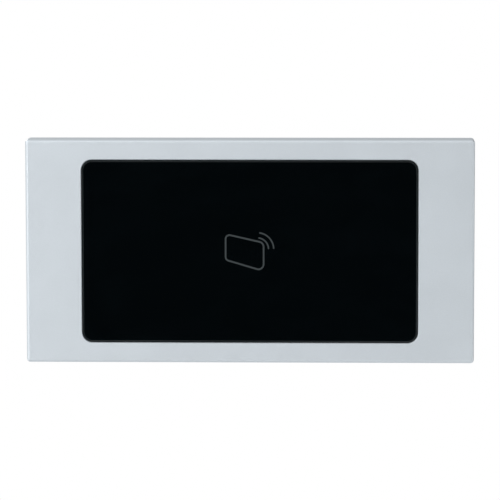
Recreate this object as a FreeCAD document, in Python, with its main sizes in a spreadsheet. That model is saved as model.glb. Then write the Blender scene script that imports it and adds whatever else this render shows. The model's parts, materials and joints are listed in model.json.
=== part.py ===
import FreeCAD, Part

import math
import os
from types import SimpleNamespace

import Sketcher
from FreeCAD import Placement, Rotation, Vector

# A flush-mounted card reader module for a modular door station.
#
# An aluminium front panel carries a black window with a card symbol. Behind it sit an antenna board on
# a carrier with a light tunnel, a main board, and a black rear housing that is screwed into the panel.
# +X is to the right as the reader is looked at, +Z is up and +Y points into the wall.
# The origin is the middle of the four frame screws, in the plane of the panel's back rim.

DIMENSIONS = [
    # front panel
    ("panel_width", 112.0, "front panel along X"),
    ("panel_height", 56.0, "front panel along Z"),
    ("panel_depth", 7.0, "front face to back rim"),
    ("panel_corner", 0.8, "radius of the four outer corners"),
    ("panel_edge", 0.7, "rounding round the front face"),
    ("rim_width", 3.2, "wall round the back of the panel"),
    ("pocket_depth", 3.2, "back rim to the pocket floor"),
    ("pocket_corner", 1.5, "inner corner radius of the pocket"),
    ("window_width", 84.0, "recess for the window"),
    ("window_height", 45.8, "recess for the window"),
    ("window_corner", 2.6, "corner radius of the window recess"),
    ("window_break", 0.2, "broken edge round the window recess"),
    ("ledge_width", 3.0, "shelf the window is bonded to"),
    ("seal_inset", 0.9, "outer edge to the frame seal groove"),
    ("seal_groove", 1.4, "width of the frame seal groove"),
    ("seal_groove_depth", 1.0, "depth of the frame seal groove"),
    ("seal_corner", 2.2, "outer corner radius of the frame seal groove"),
    ("seal_width", 1.2, "frame seal"),
    ("seal_height", 1.3, "frame seal"),
    ("lug_size", 10.4, "corner lug, measured from the panel's outer edges"),
    ("lug_corner", 2.0, "rounding of a lug's free corner"),
    ("frame_screw_x", 49.4, "tapped frame screw hole from the middle"),
    ("frame_screw_z", 21.4, "tapped frame screw hole from the middle"),
    ("frame_screw_radius", 1.25, "tapping size for M3"),
    ("frame_screw_depth", 5.2, "depth of a frame screw hole"),
    # window
    ("glass_thickness", 2.0, "window"),
    ("glass_gap", 0.12, "gap between window and recess"),
    ("glass_break", 0.35, "broken front edge of the window"),
    ("tape_thickness", 0.3, "bonding tape"),
    ("tape_inset", 0.4, "window edge to tape"),
    ("tape_width", 2.2, "bonding tape"),
    ("tape_corner", 0.8, "inner corner radius of the tape"),
    # card symbol
    ("ink_thickness", 0.05, "printed symbol"),
    ("ink_stroke", 0.42, "line width of the card outline"),
    ("card_left", -5.99, "card outline, left side"),
    ("card_right", 3.49, "card outline, right side"),
    ("card_left_top", 4.4, "card outline, upper left corner"),
    ("card_left_bottom", -2.05, "card outline, lower left corner"),
    ("card_right_top", 2.25, "card outline, upper right corner"),
    ("card_right_bottom", -4.85, "card outline, lower right corner"),
    ("card_corner_left", 0.98, "radius of the card outline's two left corners"),
    ("card_corner_right", 1.3, "radius of the card outline's two right corners"),
    ("wave_x", 1.92, "centre of the two waves"),
    ("wave_z", 0.67, "centre of the two waves"),
    ("wave_inner", 2.8, "radius of the inner wave"),
    ("wave_outer", 4.09, "radius of the outer wave"),
    ("wave_stroke", 0.36, "line width of the waves"),
    ("wave_start", 3.0, "degrees above the horizontal"),
    ("wave_sweep", 78.0, "degrees that a wave covers"),
    # diffuser behind the symbol
    ("diffuser_width", 16.0, "along X"),
    ("diffuser_height", 12.0, "along Z"),
    ("diffuser_thickness", 1.0, "along Y"),
    ("diffuser_corner", 1.5, "corner radius"),
    # antenna board, ferrite sheet and carrier
    ("antenna_front", -2.6, "front face of the antenna board"),
    ("antenna_width", 80.0, "along X"),
    ("antenna_height", 38.6, "along Z"),
    ("antenna_thickness", 1.0, "board"),
    ("antenna_corner", 2.0, "corner radius"),
    ("coil_width", 66.0, "outermost turn along X"),
    ("coil_height", 28.4, "outermost turn along Z"),
    ("coil_track", 0.8, "width of a track"),
    ("coil_pitch", 1.3, "track to track"),
    ("coil_thickness", 0.1, "copper"),
    ("coil_turns", 4.0, "turns"),
    ("ferrite_thickness", 0.3, "ferrite sheet"),
    ("ferrite_inset", 1.0, "board edge to sheet edge"),
    ("carrier_thickness", 1.8, "carrier plate"),
    ("carrier_inset", 0.4, "board edge to carrier edge"),
    ("tunnel_width", 20.0, "light tunnel outside, along X"),
    ("tunnel_height", 15.0, "light tunnel outside, along Z"),
    ("tunnel_wall", 1.2, "light tunnel"),
    ("tunnel_front", -3.8, "front end of the light tunnel"),
    ("tunnel_clearance", 0.2, "light tunnel to each board"),
    ("tunnel_corner", 1.6, "corner radius of the light tunnel"),
    # rear housing
    ("housing_width", 88.0, "box along X"),
    ("housing_height", 45.0, "box along Z"),
    ("housing_rear", 21.0, "back face"),
    ("housing_corner", 3.0, "corner radius of the box"),
    ("housing_wall", 2.2, "side walls"),
    ("back_wall", 2.0, "rear wall"),
    ("housing_round", 1.0, "rounding round the back face"),
    ("cavity_corner", 1.5, "corner radius inside the box"),
    ("flange_gap", 0.2, "flange to pocket wall"),
    ("flange_thickness", 2.4, "flange"),
    ("notch_gap", 0.3, "flange to corner lug"),
    ("gasket_gap", 0.8, "box cavity to gasket groove"),
    ("gasket_width", 1.3, "housing gasket"),
    ("gasket_height", 0.8, "housing gasket"),
    ("gusset_length", 6.0, "gusset along X"),
    ("gusset_rise", 7.0, "gusset along Y"),
    ("gusset_thickness", 1.4, "gusset"),
    ("gusset_root", 0.4, "gusset into the wall and the flange"),
    ("gusset_spread", 15.6, "outer gussets from the middle"),
    ("housing_screw_x", 48.4, "housing screw from the middle"),
    ("housing_screw_z", 9.0, "housing screw from the middle"),
    ("housing_screw_shank", 1.0, "radius"),
    ("housing_screw_head", 2.3, "radius"),
    ("housing_screw_rise", 1.3, "height of the head"),
    ("housing_screw_bite", 2.5, "length in the panel"),
    ("counterbore_radius", 2.7, "seat of a housing screw"),
    ("counterbore_depth", 1.2, "seat of a housing screw"),
    ("screw_slack", 0.05, "shank to tapped hole, radial"),
    ("screw_clearance", 0.4, "shank to clearance hole, radial"),
    # posts and small screws
    ("post_x", 35.5, "antenna post from the middle"),
    ("post_z", 15.8, "antenna post from the middle"),
    ("post_radius", 2.8, "antenna post"),
    ("standoff_x", 38.4, "board standoff from the middle"),
    ("standoff_z", 6.0, "board standoff from the middle"),
    ("standoff_radius", 2.6, "board standoff"),
    ("pilot_radius", 0.9, "pilot hole"),
    ("post_pilot_depth", 9.0, "pilot hole in a post"),
    ("standoff_pilot_depth", 5.0, "pilot hole in a standoff"),
    ("small_screw_shank", 0.85, "radius"),
    ("small_screw_head", 1.9, "radius"),
    ("small_screw_rise", 1.2, "height of the head"),
    ("antenna_screw_length", 9.0, "under the head"),
    ("board_screw_length", 6.0, "under the head"),
    ("recess_width", 0.55, "cross recess, width of a slot"),
    ("recess_depth", 0.7, "cross recess"),
    # main board
    ("board_front", 11.0, "front face of the main board"),
    ("board_thickness", 1.6, "main board"),
    ("board_width", 82.6, "along X"),
    ("board_height", 39.6, "along Z"),
    ("board_corner", 1.2, "corner radius"),
    ("board_post_gap", 0.3, "board to antenna post"),
    ("pin_hole", 0.8, "radius of a pin's hole over the side of the square pin"),
    # link sockets at the back
    ("link_x", 24.0, "link socket from the middle"),
    ("link_z", -11.0, "link socket from the middle"),
    ("link_width", 12.6, "along X"),
    ("link_height", 6.4, "along Z"),
    ("link_length", 7.6, "along Y"),
    ("link_wall", 0.8, "shell"),
    ("link_floor", 1.4, "shell"),
    ("link_slot", 1.3, "two slots for the plug's lugs"),
    ("link_slot_spread", 3.0, "slot from the middle"),
    ("link_pitch", 2.5, "pin to pin"),
    ("link_pin", 0.64, "square pin"),
    ("link_pin_recess", 1.2, "pin tip below the shell's rim"),
    ("link_window_gap", 0.4, "shell to housing window"),
    ("link_recess_margin", 1.9, "window to edge of the recess"),
    ("link_recess_corner", 1.4, "corner radius of the recess"),
    ("pin_tail", 0.6, "pin tips past the board"),
    # address switch at the back
    ("switch_z", 8.6, "address switch from the middle"),
    ("switch_width", 11.7, "along X"),
    ("switch_height", 9.8, "along Z"),
    ("switch_length", 5.4, "along Y"),
    ("switch_pitch", 2.54, "slider to slider"),
    ("switch_row", 7.62, "row to row of its pins"),
    ("switch_pin", 0.5, "square pin"),
    ("slider_width", 1.2, "along X"),
    ("slider_height", 1.7, "along Z"),
    ("slider_travel", 1.8, "off to on"),
    ("slider_rise", 0.8, "above the body"),
    ("slider_depth", 1.0, "below the body's face"),
    ("slider_gap", 0.1, "slider to its slot"),
    ("switch_window_gap", 0.3, "switch to housing window"),
    ("plug_margin", 2.0, "window to edge of the plug's recess"),
    ("plug_depth", 1.0, "thickness of the plug's plate"),
    ("plug_gap", 0.15, "plug to recess"),
    ("plug_corner", 2.0, "corner radius of the plug's recess"),
    ("plug_skirt", 1.0, "wall of the skirt"),
    ("plug_skirt_length", 1.1, "skirt"),
    ("plug_tab_width", 7.0, "pull tab along X"),
    ("plug_tab_height", 1.4, "pull tab along Z"),
    ("plug_tab_rise", 2.0, "pull tab along Y"),
    # tamper switch at the back
    ("tamper_x", 25.0, "tamper plunger from the middle"),
    ("tamper_z", 9.0, "tamper plunger from the middle"),
    ("tamper_rod", 1.6, "radius of the plunger's rod"),
    ("tamper_flange", 3.0, "radius of the plunger's flange"),
    ("tamper_flange_thickness", 0.8, "plunger flange"),
    ("tamper_rise", 2.5, "plunger past the back face"),
    ("tamper_round", 0.6, "rounding of the plunger's tip"),
    ("tamper_slack", 0.08, "rod to hole, radial"),
    ("tamper_guide_inside", 3.2, "radius inside the guide"),
    ("tamper_guide_wall", 1.0, "guide"),
    ("tamper_guide_length", 3.4, "guide"),
    ("tact_size", 4.6, "square body"),
    ("tact_length", 1.8, "body along Y"),
    ("tact_button", 1.2, "radius"),
    ("tact_rise", 0.7, "button above the body"),
    ("tact_depth", 0.3, "button below the body's face"),
    ("tact_travel", 0.25, "button"),
    ("tact_slack", 0.06, "button to its hole, radial"),
    ("spring_radius", 0.95, "mean radius of the tamper spring"),
    ("spring_wire", 0.15, "radius of the wire"),
    ("spring_turns", 4.0, "turns"),
    ("spring_end", 0.02, "gap at each end"),
    # label and moulded marks
    ("label_z", -9.5, "label from the middle"),
    ("label_width", 24.0, "along X"),
    ("label_height", 13.0, "along Z"),
    ("label_thickness", 0.15, "label"),
    ("label_recess", 0.3, "recess in the housing"),
    ("label_gap", 0.4, "label to edge of the recess"),
    ("label_corner", 1.0, "corner radius"),
    ("mark_size", 2.4, "side of a moulded arrow"),
    ("mark_rise", 0.25, "moulded arrow"),
    ("mark_offset", 8.4, "arrow above the middle of its socket"),
    # parts on the main board
    ("controller_x", -19.0, "controller chip"),
    ("controller_z", 6.0, "controller chip"),
    ("controller_size", 10.0, "square body"),
    ("controller_thickness", 1.4, "body"),
    ("controller_pitch", 0.5, "lead to lead"),
    ("controller_lead", 0.22, "width of a lead"),
    ("lead_span", 1.0, "chip's side to the lead's tip"),
    ("lead_foot", 0.5, "foot of a lead"),
    ("lead_gauge", 0.15, "thickness of a lead"),
    ("chip_break", 0.2, "broken edge of a chip"),
    ("reader_x", 27.0, "reader chip"),
    ("reader_z", 10.0, "reader chip"),
    ("reader_size", 5.0, "square body"),
    ("reader_thickness", 0.9, "body"),
    ("small_chip_x", 3.5, "first small-outline chip"),
    ("small_chip_step", 9.0, "first to second"),
    ("small_chip_z", -14.4, "small-outline chips"),
    ("small_chip_width", 4.9, "along X"),
    ("small_chip_height", 3.9, "along Z"),
    ("small_chip_thickness", 1.5, "body"),
    ("small_chip_pitch", 1.27, "lead to lead"),
    ("small_chip_lead", 0.4, "width of a lead"),
    ("regulator_x", -31.5, "regulator"),
    ("regulator_z", 6.5, "regulator"),
    ("regulator_width", 3.5, "along X"),
    ("regulator_height", 6.5, "along Z"),
    ("regulator_thickness", 1.6, "body"),
    ("regulator_leg", 1.7, "length of the legs and of the tab"),
    ("regulator_leg_width", 0.7, "leg"),
    ("regulator_tab_width", 3.0, "tab"),
    ("regulator_gauge", 0.3, "thickness of the legs and of the tab"),
    ("regulator_pitch", 2.3, "leg to leg"),
    ("crystal_thickness", 3.4, "quartz cans"),
    ("crystal_height", 3.6, "along Z"),
    ("crystal_round", 1.2, "round corners of a can"),
    ("reader_crystal_x", 24.5, "can by the reader chip"),
    ("reader_crystal_z", 16.0, "can by the reader chip"),
    ("reader_crystal_width", 11.0, "along X"),
    ("controller_crystal_z", 16.2, "can over the controller chip"),
    ("controller_crystal_width", 7.0, "along X"),
    ("chip_part_width", 1.6, "chip resistors and capacitors"),
    ("chip_part_height", 0.8, "chip resistors and capacitors"),
    ("chip_part_end", 0.3, "tinned end"),
    ("chip_part_step", 2.2, "part to part in a row"),
    ("resistor_thickness", 0.45, "chip resistors"),
    ("ceramic_thickness", 0.8, "chip capacitors"),
    ("buzzer_x", 30.0, "buzzer"),
    ("buzzer_z", -1.0, "buzzer"),
    ("buzzer_radius", 6.0, "buzzer"),
    ("buzzer_length", 6.5, "buzzer"),
    ("buzzer_hole", 1.0, "radius of the sound hole"),
    ("header_x", 20.0, "board-to-board header"),
    ("header_pitch", 2.54, "header"),
    ("header_width", 2.5, "header body along X"),
    ("header_base", 2.5, "header body along Y"),
    ("header_pin", 0.64, "square pin"),
    ("header_pin_tip", 3.0, "front end of the pins"),
    ("header_socket_length", 8.5, "socket body along Y"),
    ("header_opening_gap", 0.4, "socket to the holes it passes"),
    ("header_play", 1.0, "room past the tip of a pin"),
    ("led_spread", 4.0, "LED to LED"),
    ("led_width", 3.2, "along X"),
    ("led_height", 2.8, "along Z"),
    ("led_thickness", 1.6, "body"),
    ("led_lens", 1.15, "radius of the lens"),
    ("led_lens_depth", 0.5, "lens in the body"),
    ("can_radius", 3.15, "electrolytic capacitor"),
    ("can_length", 5.2, "electrolytic capacitor"),
    ("can_base", 6.6, "square base"),
    ("can_base_thickness", 0.9, "base"),
    ("can_x", -14.5, "first can"),
    ("can_step", 7.6, "first can to second"),
    ("can_z", -13.4, "both cans"),
    ("can_round", 0.4, "rounding of a can's top"),
    ("choke_x", -30.2, "choke"),
    ("choke_z", -3.6, "choke"),
    ("choke_size", 6.0, "square body"),
    ("choke_thickness", 3.0, "body"),
    ("choke_round", 1.5, "corner radius"),
]


class Size:
    """A length in mm together with the spreadsheet expression that drives it."""

    def __init__(self, text, value):
        self.text = text
        self.value = value

    def __add__(self, other):
        return combined(self, "+", other)

    def __radd__(self, other):
        return combined(other, "+", self)

    def __sub__(self, other):
        return combined(self, "-", other)

    def __rsub__(self, other):
        return combined(other, "-", self)

    def __mul__(self, other):
        return combined(self, "*", other)

    def __rmul__(self, other):
        return combined(other, "*", self)

    def __truediv__(self, other):
        return combined(self, "/", other)

    def __neg__(self):
        return combined(0, "-", self)


OPERATIONS = {
    "+": lambda a, b: a + b,
    "-": lambda a, b: a - b,
    "*": lambda a, b: a * b,
    "/": lambda a, b: a / b,
}


def as_size(length):
    if isinstance(length, Size):
        return length
    return Size(f"({float(length)})", float(length))


def combined(left, sign, right):
    left = as_size(left)
    right = as_size(right)
    value = OPERATIONS[sign](left.value, right.value)
    return Size(f"({left.text} {sign} {right.text})", value)


doc = FreeCAD.newDocument("card_reader")
sheet = doc.addObject("Spreadsheet::Sheet", "dims")
for row, (alias, value, note) in enumerate(DIMENSIONS, start=1):
    sheet.set(f"A{row}", alias)
    sheet.set(f"B{row}", str(value))
    sheet.set(f"C{row}", note)
    sheet.setAlias(f"B{row}", alias)
doc.recompute()
D = SimpleNamespace(**{alias: Size(f"dims.{alias}", sheet.get(alias)) for alias, _, _ in DIMENSIONS})

NODES = []


def node(thing, name):
    """Keeps one document object as a sub-part under the name that its file gets."""
    thing.Label = name
    NODES.append(thing)
    return thing


def bind(thing, path, length):
    thing.setExpression(path, as_size(length).text)


def put(thing, x, y, z, path="Placement"):
    for axis, length in (("x", x), ("y", y), ("z", z)):
        bind(thing, f"{path}.Base.{axis}", length)
    return thing


# ---------------------------------------------------------------- sketches and PartDesign features


def new_body(name):
    return doc.addObject("PartDesign::Body", name)


def sketch(body, y, x=0, z=0, plane="XZ_Plane"):
    """A sketch parallel to the front, at depth y and centred on (x, z). Its own axes are X and Z."""
    origin_plane = next(f for f in body.Origin.OriginFeatures if f.Role == plane)
    drawn = body.newObject("Sketcher::SketchObject", body.Name + "_sketch")
    drawn.AttachmentSupport = [(origin_plane, "")]
    drawn.MapMode = "FlatFace"
    if plane == "XZ_Plane":
        put(drawn, x, z, -as_size(y), "AttachmentOffset")
    return drawn


def constrain(drawn, length, kind, *where):
    """Adds a driving dimension whose value comes from the spreadsheet."""
    length = as_size(length)
    number = drawn.addConstraint(Sketcher.Constraint(kind, *where, length.value))
    drawn.setExpression(f"Constraints[{number}]", length.text)


def draw_rectangle(drawn, width, height, radius):
    """A rectangle with rounded corners, centred on the sketch's origin."""
    width, height, radius = as_size(width), as_size(height), as_size(radius)
    half_w, half_h, r = width.value / 2, height.value / 2, radius.value
    in_w, in_h = half_w - r, half_h - r
    sides = [
        ((-in_w, half_h), (in_w, half_h)),
        ((-half_w, in_h), (-half_w, -in_h)),
        ((-in_w, -half_h), (in_w, -half_h)),
        ((half_w, -in_h), (half_w, in_h)),
    ]
    top, left, bottom, right = (
        drawn.addGeometry(Part.LineSegment(Vector(*a, 0), Vector(*b, 0))) for a, b in sides
    )
    corners = [(in_w, in_h), (-in_w, in_h), (-in_w, -in_h), (in_w, -in_h)]
    quarter = math.pi / 2
    arcs = []
    for number, (x, z) in enumerate(corners):
        circle = Part.Circle(Vector(x, z, 0), Vector(0, 0, 1), r)
        arc = Part.ArcOfCircle(circle, number * quarter, (number + 1) * quarter)
        arcs.append(drawn.addGeometry(arc))
    meetings = [
        (arcs[0], 1, right, 2),
        (arcs[0], 2, top, 2),
        (arcs[1], 1, top, 1),
        (arcs[1], 2, left, 1),
        (arcs[2], 1, left, 2),
        (arcs[2], 2, bottom, 1),
        (arcs[3], 1, bottom, 2),
        (arcs[3], 2, right, 1),
    ]
    for meeting in meetings:
        drawn.addConstraint(Sketcher.Constraint("Tangent", *meeting))
    for line in (top, bottom):
        drawn.addConstraint(Sketcher.Constraint("Horizontal", line))
    for line in (left, right):
        drawn.addConstraint(Sketcher.Constraint("Vertical", line))
    for arc in arcs[1:]:
        drawn.addConstraint(Sketcher.Constraint("Equal", arcs[0], arc))
    drawn.addConstraint(Sketcher.Constraint("Symmetric", arcs[0], 3, arcs[2], 3, -1, 1))
    constrain(drawn, radius, "Radius", arcs[0])
    constrain(drawn, width, "DistanceX", left, 1, right, 1)
    constrain(drawn, height, "DistanceY", bottom, 1, top, 1)
    return drawn


def draw_ring(drawn, width, height, inset, wall, outer_corner, inner_corner):
    """A ring of two rounded rectangles, set in from an outline of this width and height."""
    for edge, corner in ((inset, outer_corner), (inset + wall, inner_corner)):
        draw_rectangle(drawn, width - 2 * edge, height - 2 * edge, corner)
    return drawn


def draw_circle(drawn, radius, x=0, z=0):
    x, z, radius = as_size(x), as_size(z), as_size(radius)
    circle = Part.Circle(Vector(x.value, z.value, 0), Vector(0, 0, 1), radius.value)
    number = drawn.addGeometry(circle)
    constrain(drawn, radius, "Radius", number)
    pin_point(drawn, number, 3, x, z)
    return drawn


def pin_point(drawn, number, point, x, z):
    """Fixes a point of the sketch at (x, z), which are lengths from its origin."""
    if x.value == 0:
        drawn.addConstraint(Sketcher.Constraint("PointOnObject", number, point, -2))
    else:
        constrain(drawn, x, "DistanceX", -1, 1, number, point)
    if z.value == 0:
        drawn.addConstraint(Sketcher.Constraint("PointOnObject", number, point, -1))
    else:
        constrain(drawn, z, "DistanceY", -1, 1, number, point)


def draw_outline(drawn, points):
    """A closed outline of straight sides, each corner pinned to its two lengths."""
    points = [(as_size(x), as_size(z)) for x, z in points]
    ends = points[1:] + points[:1]
    lines = [
        drawn.addGeometry(
            Part.LineSegment(Vector(a[0].value, a[1].value, 0), Vector(b[0].value, b[1].value, 0))
        )
        for a, b in zip(points, ends)
    ]
    for number, line in enumerate(lines):
        following = lines[(number + 1) % len(lines)]
        drawn.addConstraint(Sketcher.Constraint("Coincident", line, 2, following, 1))
        pin_point(drawn, line, 1, *points[number])
    return drawn


def signs():
    return [(1, 1), (-1, 1), (-1, -1), (1, -1)]


def draw_four_circles(drawn, radius, x, z):
    for across, up in signs():
        draw_circle(drawn, radius, across * x, up * z)
    return drawn


def pad(body, drawn, length, to_rear=True):
    """Adds material from the sketch, towards +Y unless to_rear is False."""
    feature = body.newObject("PartDesign::Pad", body.Name + "_pad")
    feature.Profile = drawn
    bind(feature, "Length", length)
    feature.Reversed = to_rear
    return feature


def pocket(body, drawn, length, to_rear=True):
    """Cuts material away from the sketch, towards +Y unless to_rear is False."""
    doc.recompute()
    before = body.Shape.Volume
    feature = body.newObject("PartDesign::Pocket", body.Name + "_pocket")
    feature.Profile = drawn
    bind(feature, "Length", length)
    feature.Reversed = not to_rear
    doc.recompute()
    if body.Shape.Volume >= before:
        raise ValueError(f"a pocket of {body.Name} cuts nothing")
    return feature


def edges_where(shape, test):
    """Names of the edges whose bounding box passes a test."""
    found = [n for n, edge in enumerate(shape.Edges, start=1) if test(edge.BoundBox)]
    return [f"Edge{n}" for n in found]


def flat_at(y, within=None):
    """A test for edges that lie in the plane at depth y, and within a half width and half height."""

    def test(box):
        in_plane = abs(box.YMin - y) < 1e-4 and abs(box.YMax - y) < 1e-4
        return in_plane and (within is None or within(box))

    return test


def inside(half_width, half_height):
    """A test for edges that lie within a half width and a half height of the origin."""
    slack = 1e-3

    def test(box):
        across = max(abs(box.XMin), abs(box.XMax)) < half_width + slack
        up = max(abs(box.ZMin), abs(box.ZMax)) < half_height + slack
        return across and up

    return test


def dress(body, kind, length, test):
    """A PartDesign Fillet or Chamfer on the edges that a test picks."""
    doc.recompute()
    base = body.Tip
    feature = body.newObject(f"PartDesign::{kind}", f"{body.Name}_{kind.lower()}")
    names = edges_where(base.Shape, test)
    if not names:
        raise ValueError(f"no edge of {body.Name} passes the test for its {kind}")
    feature.Base = (base, names)
    bind(feature, "Radius" if kind == "Fillet" else "Size", length)
    doc.recompute()
    return feature


def turned(name, profile):
    """A body turned about its own Y axis. The profile's points are (radius, y)."""
    body = new_body(name)
    drawn = draw_outline(sketch(body, 0, plane="XY_Plane"), profile)
    feature = body.newObject("PartDesign::Revolution", name + "_revolution")
    feature.Profile = drawn
    feature.ReferenceAxis = (drawn, ["V_Axis"])
    feature.Angle = 360
    return body


# ---------------------------------------------------------------- Part primitives


def block(width, length, height, x, y, z):
    """A Part box centred on (x, z), from depth y towards the rear."""
    width, length, height = as_size(width), as_size(length), as_size(height)
    box = doc.addObject("Part::Box", "block")
    for path, side in (("Length", width), ("Width", length), ("Height", height)):
        bind(box, path, side)
    return put(box, x - width / 2, y, z - height / 2)


def rod(radius, length, x, y, z):
    """A Part cylinder along +Y, from depth y."""
    cylinder = doc.addObject("Part::Cylinder", "rod")
    bind(cylinder, "Radius", radius)
    bind(cylinder, "Height", length)
    cylinder.Placement = Placement(Vector(), Rotation(Vector(1, 0, 0), -90))
    return put(cylinder, x, y, z)


def difference(base, *tools):
    cut = base
    for tool in tools:
        step = doc.addObject("Part::Cut", "difference")
        step.Base = cut
        step.Tool = tool
        cut = step
    return cut


def group(things):
    """Separate solids kept together as one sub-part."""
    kept = doc.addObject("Part::Compound", "group")
    kept.Links = list(things)
    return kept


def mirrored(thing, normal):
    other = doc.addObject("Part::Mirroring", "mirrored")
    other.Source = thing
    other.Normal = normal
    return other


def four_ways(thing):
    """A piece and its three mirror images in the planes X = 0 and Z = 0."""
    across = mirrored(thing, Vector(1, 0, 0))
    down = mirrored(thing, Vector(0, 0, 1))
    opposite = mirrored(across, Vector(0, 0, 1))
    return group([thing, across, down, opposite])


def softened(thing, kind, length, test):
    """A Part Fillet or Chamfer on the edges that a test picks."""
    doc.recompute()
    rounded = doc.addObject(f"Part::{kind}", kind.lower())
    rounded.Base = thing
    picked = [n for n, edge in enumerate(thing.Shape.Edges, start=1) if test(edge.BoundBox)]
    rounded.Edges = [(n, length.value, length.value) for n in picked]
    return rounded


def computed(shape, name):
    """A sub-part whose shape is worked out here, because no feature fits it."""
    feature = doc.addObject("Part::Feature", name)
    feature.Shape = shape
    return node(feature, name)


# ---------------------------------------------------------------- front panel and window


def front_panel():
    """The aluminium panel: window recess and opening, back pocket, corner lugs and seal groove."""
    body = new_body("front_panel")
    front = -D.panel_depth
    outline = draw_rectangle(sketch(body, 0), D.panel_width, D.panel_height, D.panel_corner)
    pad(body, outline, D.panel_depth, to_rear=False)
    dress(body, "Fillet", D.panel_edge, flat_at(front.value))

    pocket_width = D.panel_width - 2 * D.rim_width
    pocket_height = D.panel_height - 2 * D.rim_width
    hollow = draw_rectangle(sketch(body, 0), pocket_width, pocket_height, D.pocket_corner)
    pocket(body, hollow, D.pocket_depth, to_rear=False)

    for across, up in signs():
        lug_x = across * (D.panel_width / 2 - (D.lug_size + D.rim_width / 2) / 2)
        lug_z = up * (D.panel_height / 2 - (D.lug_size + D.rim_width / 2) / 2)
        side = D.lug_size - D.rim_width / 2
        lug = draw_rectangle(sketch(body, 0, lug_x, lug_z), side, side, D.lug_corner)
        pad(body, lug, D.pocket_depth, to_rear=False)

    recess_depth = D.glass_thickness + D.tape_thickness
    recess = draw_rectangle(sketch(body, front), D.window_width, D.window_height, D.window_corner)
    pocket(body, recess, recess_depth)
    half_width, half_height = D.window_width.value / 2, D.window_height.value / 2
    round_recess = flat_at(front.value, inside(half_width, half_height))
    dress(body, "Chamfer", D.window_break, round_recess)
    opening = draw_rectangle(
        sketch(body, front),
        D.window_width - 2 * D.ledge_width,
        D.window_height - 2 * D.ledge_width,
        D.pocket_corner,
    )
    pocket(body, opening, D.panel_depth)

    groove = draw_ring(
        sketch(body, 0),
        D.panel_width,
        D.panel_height,
        D.seal_inset,
        D.seal_groove,
        D.seal_corner,
        D.seal_corner - D.seal_groove,
    )
    pocket(body, groove, D.seal_groove_depth, to_rear=False)

    frame_holes = draw_four_circles(
        sketch(body, 0), D.frame_screw_radius, D.frame_screw_x, D.frame_screw_z
    )
    pocket(body, frame_holes, D.frame_screw_depth, to_rear=False)
    housing_holes = draw_four_circles(
        sketch(body, -D.pocket_depth),
        D.housing_screw_shank + D.screw_slack,
        D.housing_screw_x,
        D.housing_screw_z,
    )
    pocket(body, housing_holes, D.housing_screw_bite + D.screw_slack, to_rear=False)
    return node(body, "front_panel")


def frame_seal():
    """Foam ring in the groove of the panel's rim, proud of it until the panel is screwed home."""
    body = new_body("frame_seal")
    gap = (D.seal_groove - D.seal_width) / 2
    drawn = draw_ring(
        sketch(body, -D.seal_groove_depth),
        D.panel_width,
        D.panel_height,
        D.seal_inset + gap,
        D.seal_width,
        D.seal_corner - gap,
        D.seal_corner - gap - D.seal_width,
    )
    pad(body, drawn, D.seal_height)
    return node(body, "frame_seal")


def window_glass():
    body = new_body("window_glass")
    front = -D.panel_depth
    drawn = draw_rectangle(
        sketch(body, front),
        D.window_width - 2 * D.glass_gap,
        D.window_height - 2 * D.glass_gap,
        D.window_corner - D.glass_gap,
    )
    pad(body, drawn, D.glass_thickness)
    dress(body, "Chamfer", D.glass_break, flat_at(front.value))
    return node(body, "window_glass")


def window_tape():
    body = new_body("window_tape")
    edge = D.glass_gap + D.tape_inset
    drawn = draw_ring(
        sketch(body, D.glass_thickness - D.panel_depth),
        D.window_width,
        D.window_height,
        edge,
        D.tape_width,
        D.window_corner - edge,
        D.tape_corner,
    )
    pad(body, drawn, D.tape_thickness)
    return node(body, "window_tape")


def card_symbol():
    """A generic card outline with two waves, printed on the window."""
    back = -D.panel_depth.value
    corners = [
        (D.card_left.value, D.card_left_top.value),
        (D.card_right.value, D.card_right_top.value),
        (D.card_right.value, D.card_right_bottom.value),
        (D.card_left.value, D.card_left_bottom.value),
    ]
    left, right = D.card_corner_left.value, D.card_corner_right.value
    line = rounded_outline([Vector(x, back, z) for x, z in corners], (left, right, right, left))
    outer = line.makeOffset2D(D.ink_stroke.value / 2)
    inner = line.makeOffset2D(-D.ink_stroke.value / 2)
    printed = Vector(0, -D.ink_thickness.value, 0)
    solids = [Part.Face(outer).extrude(printed).cut(Part.Face(inner).extrude(printed))]

    middle = Vector(D.wave_x.value, back, D.wave_z.value)
    half = D.wave_stroke.value / 2
    start = math.radians(D.wave_start.value)
    end = start + math.radians(D.wave_sweep.value)
    for radius in (D.wave_inner.value, D.wave_outer.value):
        solids.append(Part.Face(wave_outline(middle, radius, half, start, end)).extrude(printed))
    return computed(Part.makeCompound(solids), "card_symbol")


def rounded_outline(points, radii):
    """A closed line through points in a plane parallel to the front, with its corners rounded."""
    arcs = []
    for index, radius in enumerate(radii):
        corner = points[index]
        before = (points[index - 1] - corner).normalize()
        after = (points[(index + 1) % len(points)] - corner).normalize()
        half_turn = before.getAngle(after) / 2
        inward = (before + after).normalize()
        reach = radius / math.tan(half_turn)
        middle = corner + inward * (radius / math.sin(half_turn) - radius)
        arcs.append((corner + before * reach, middle, corner + after * reach))
    edges = []
    for arc, following in zip(arcs, arcs[1:] + arcs[:1]):
        edges.append(Part.Arc(*arc))
        edges.append(Part.LineSegment(arc[2], following[0]))
    return Part.Wire([edge.toShape() for edge in edges])


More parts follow.
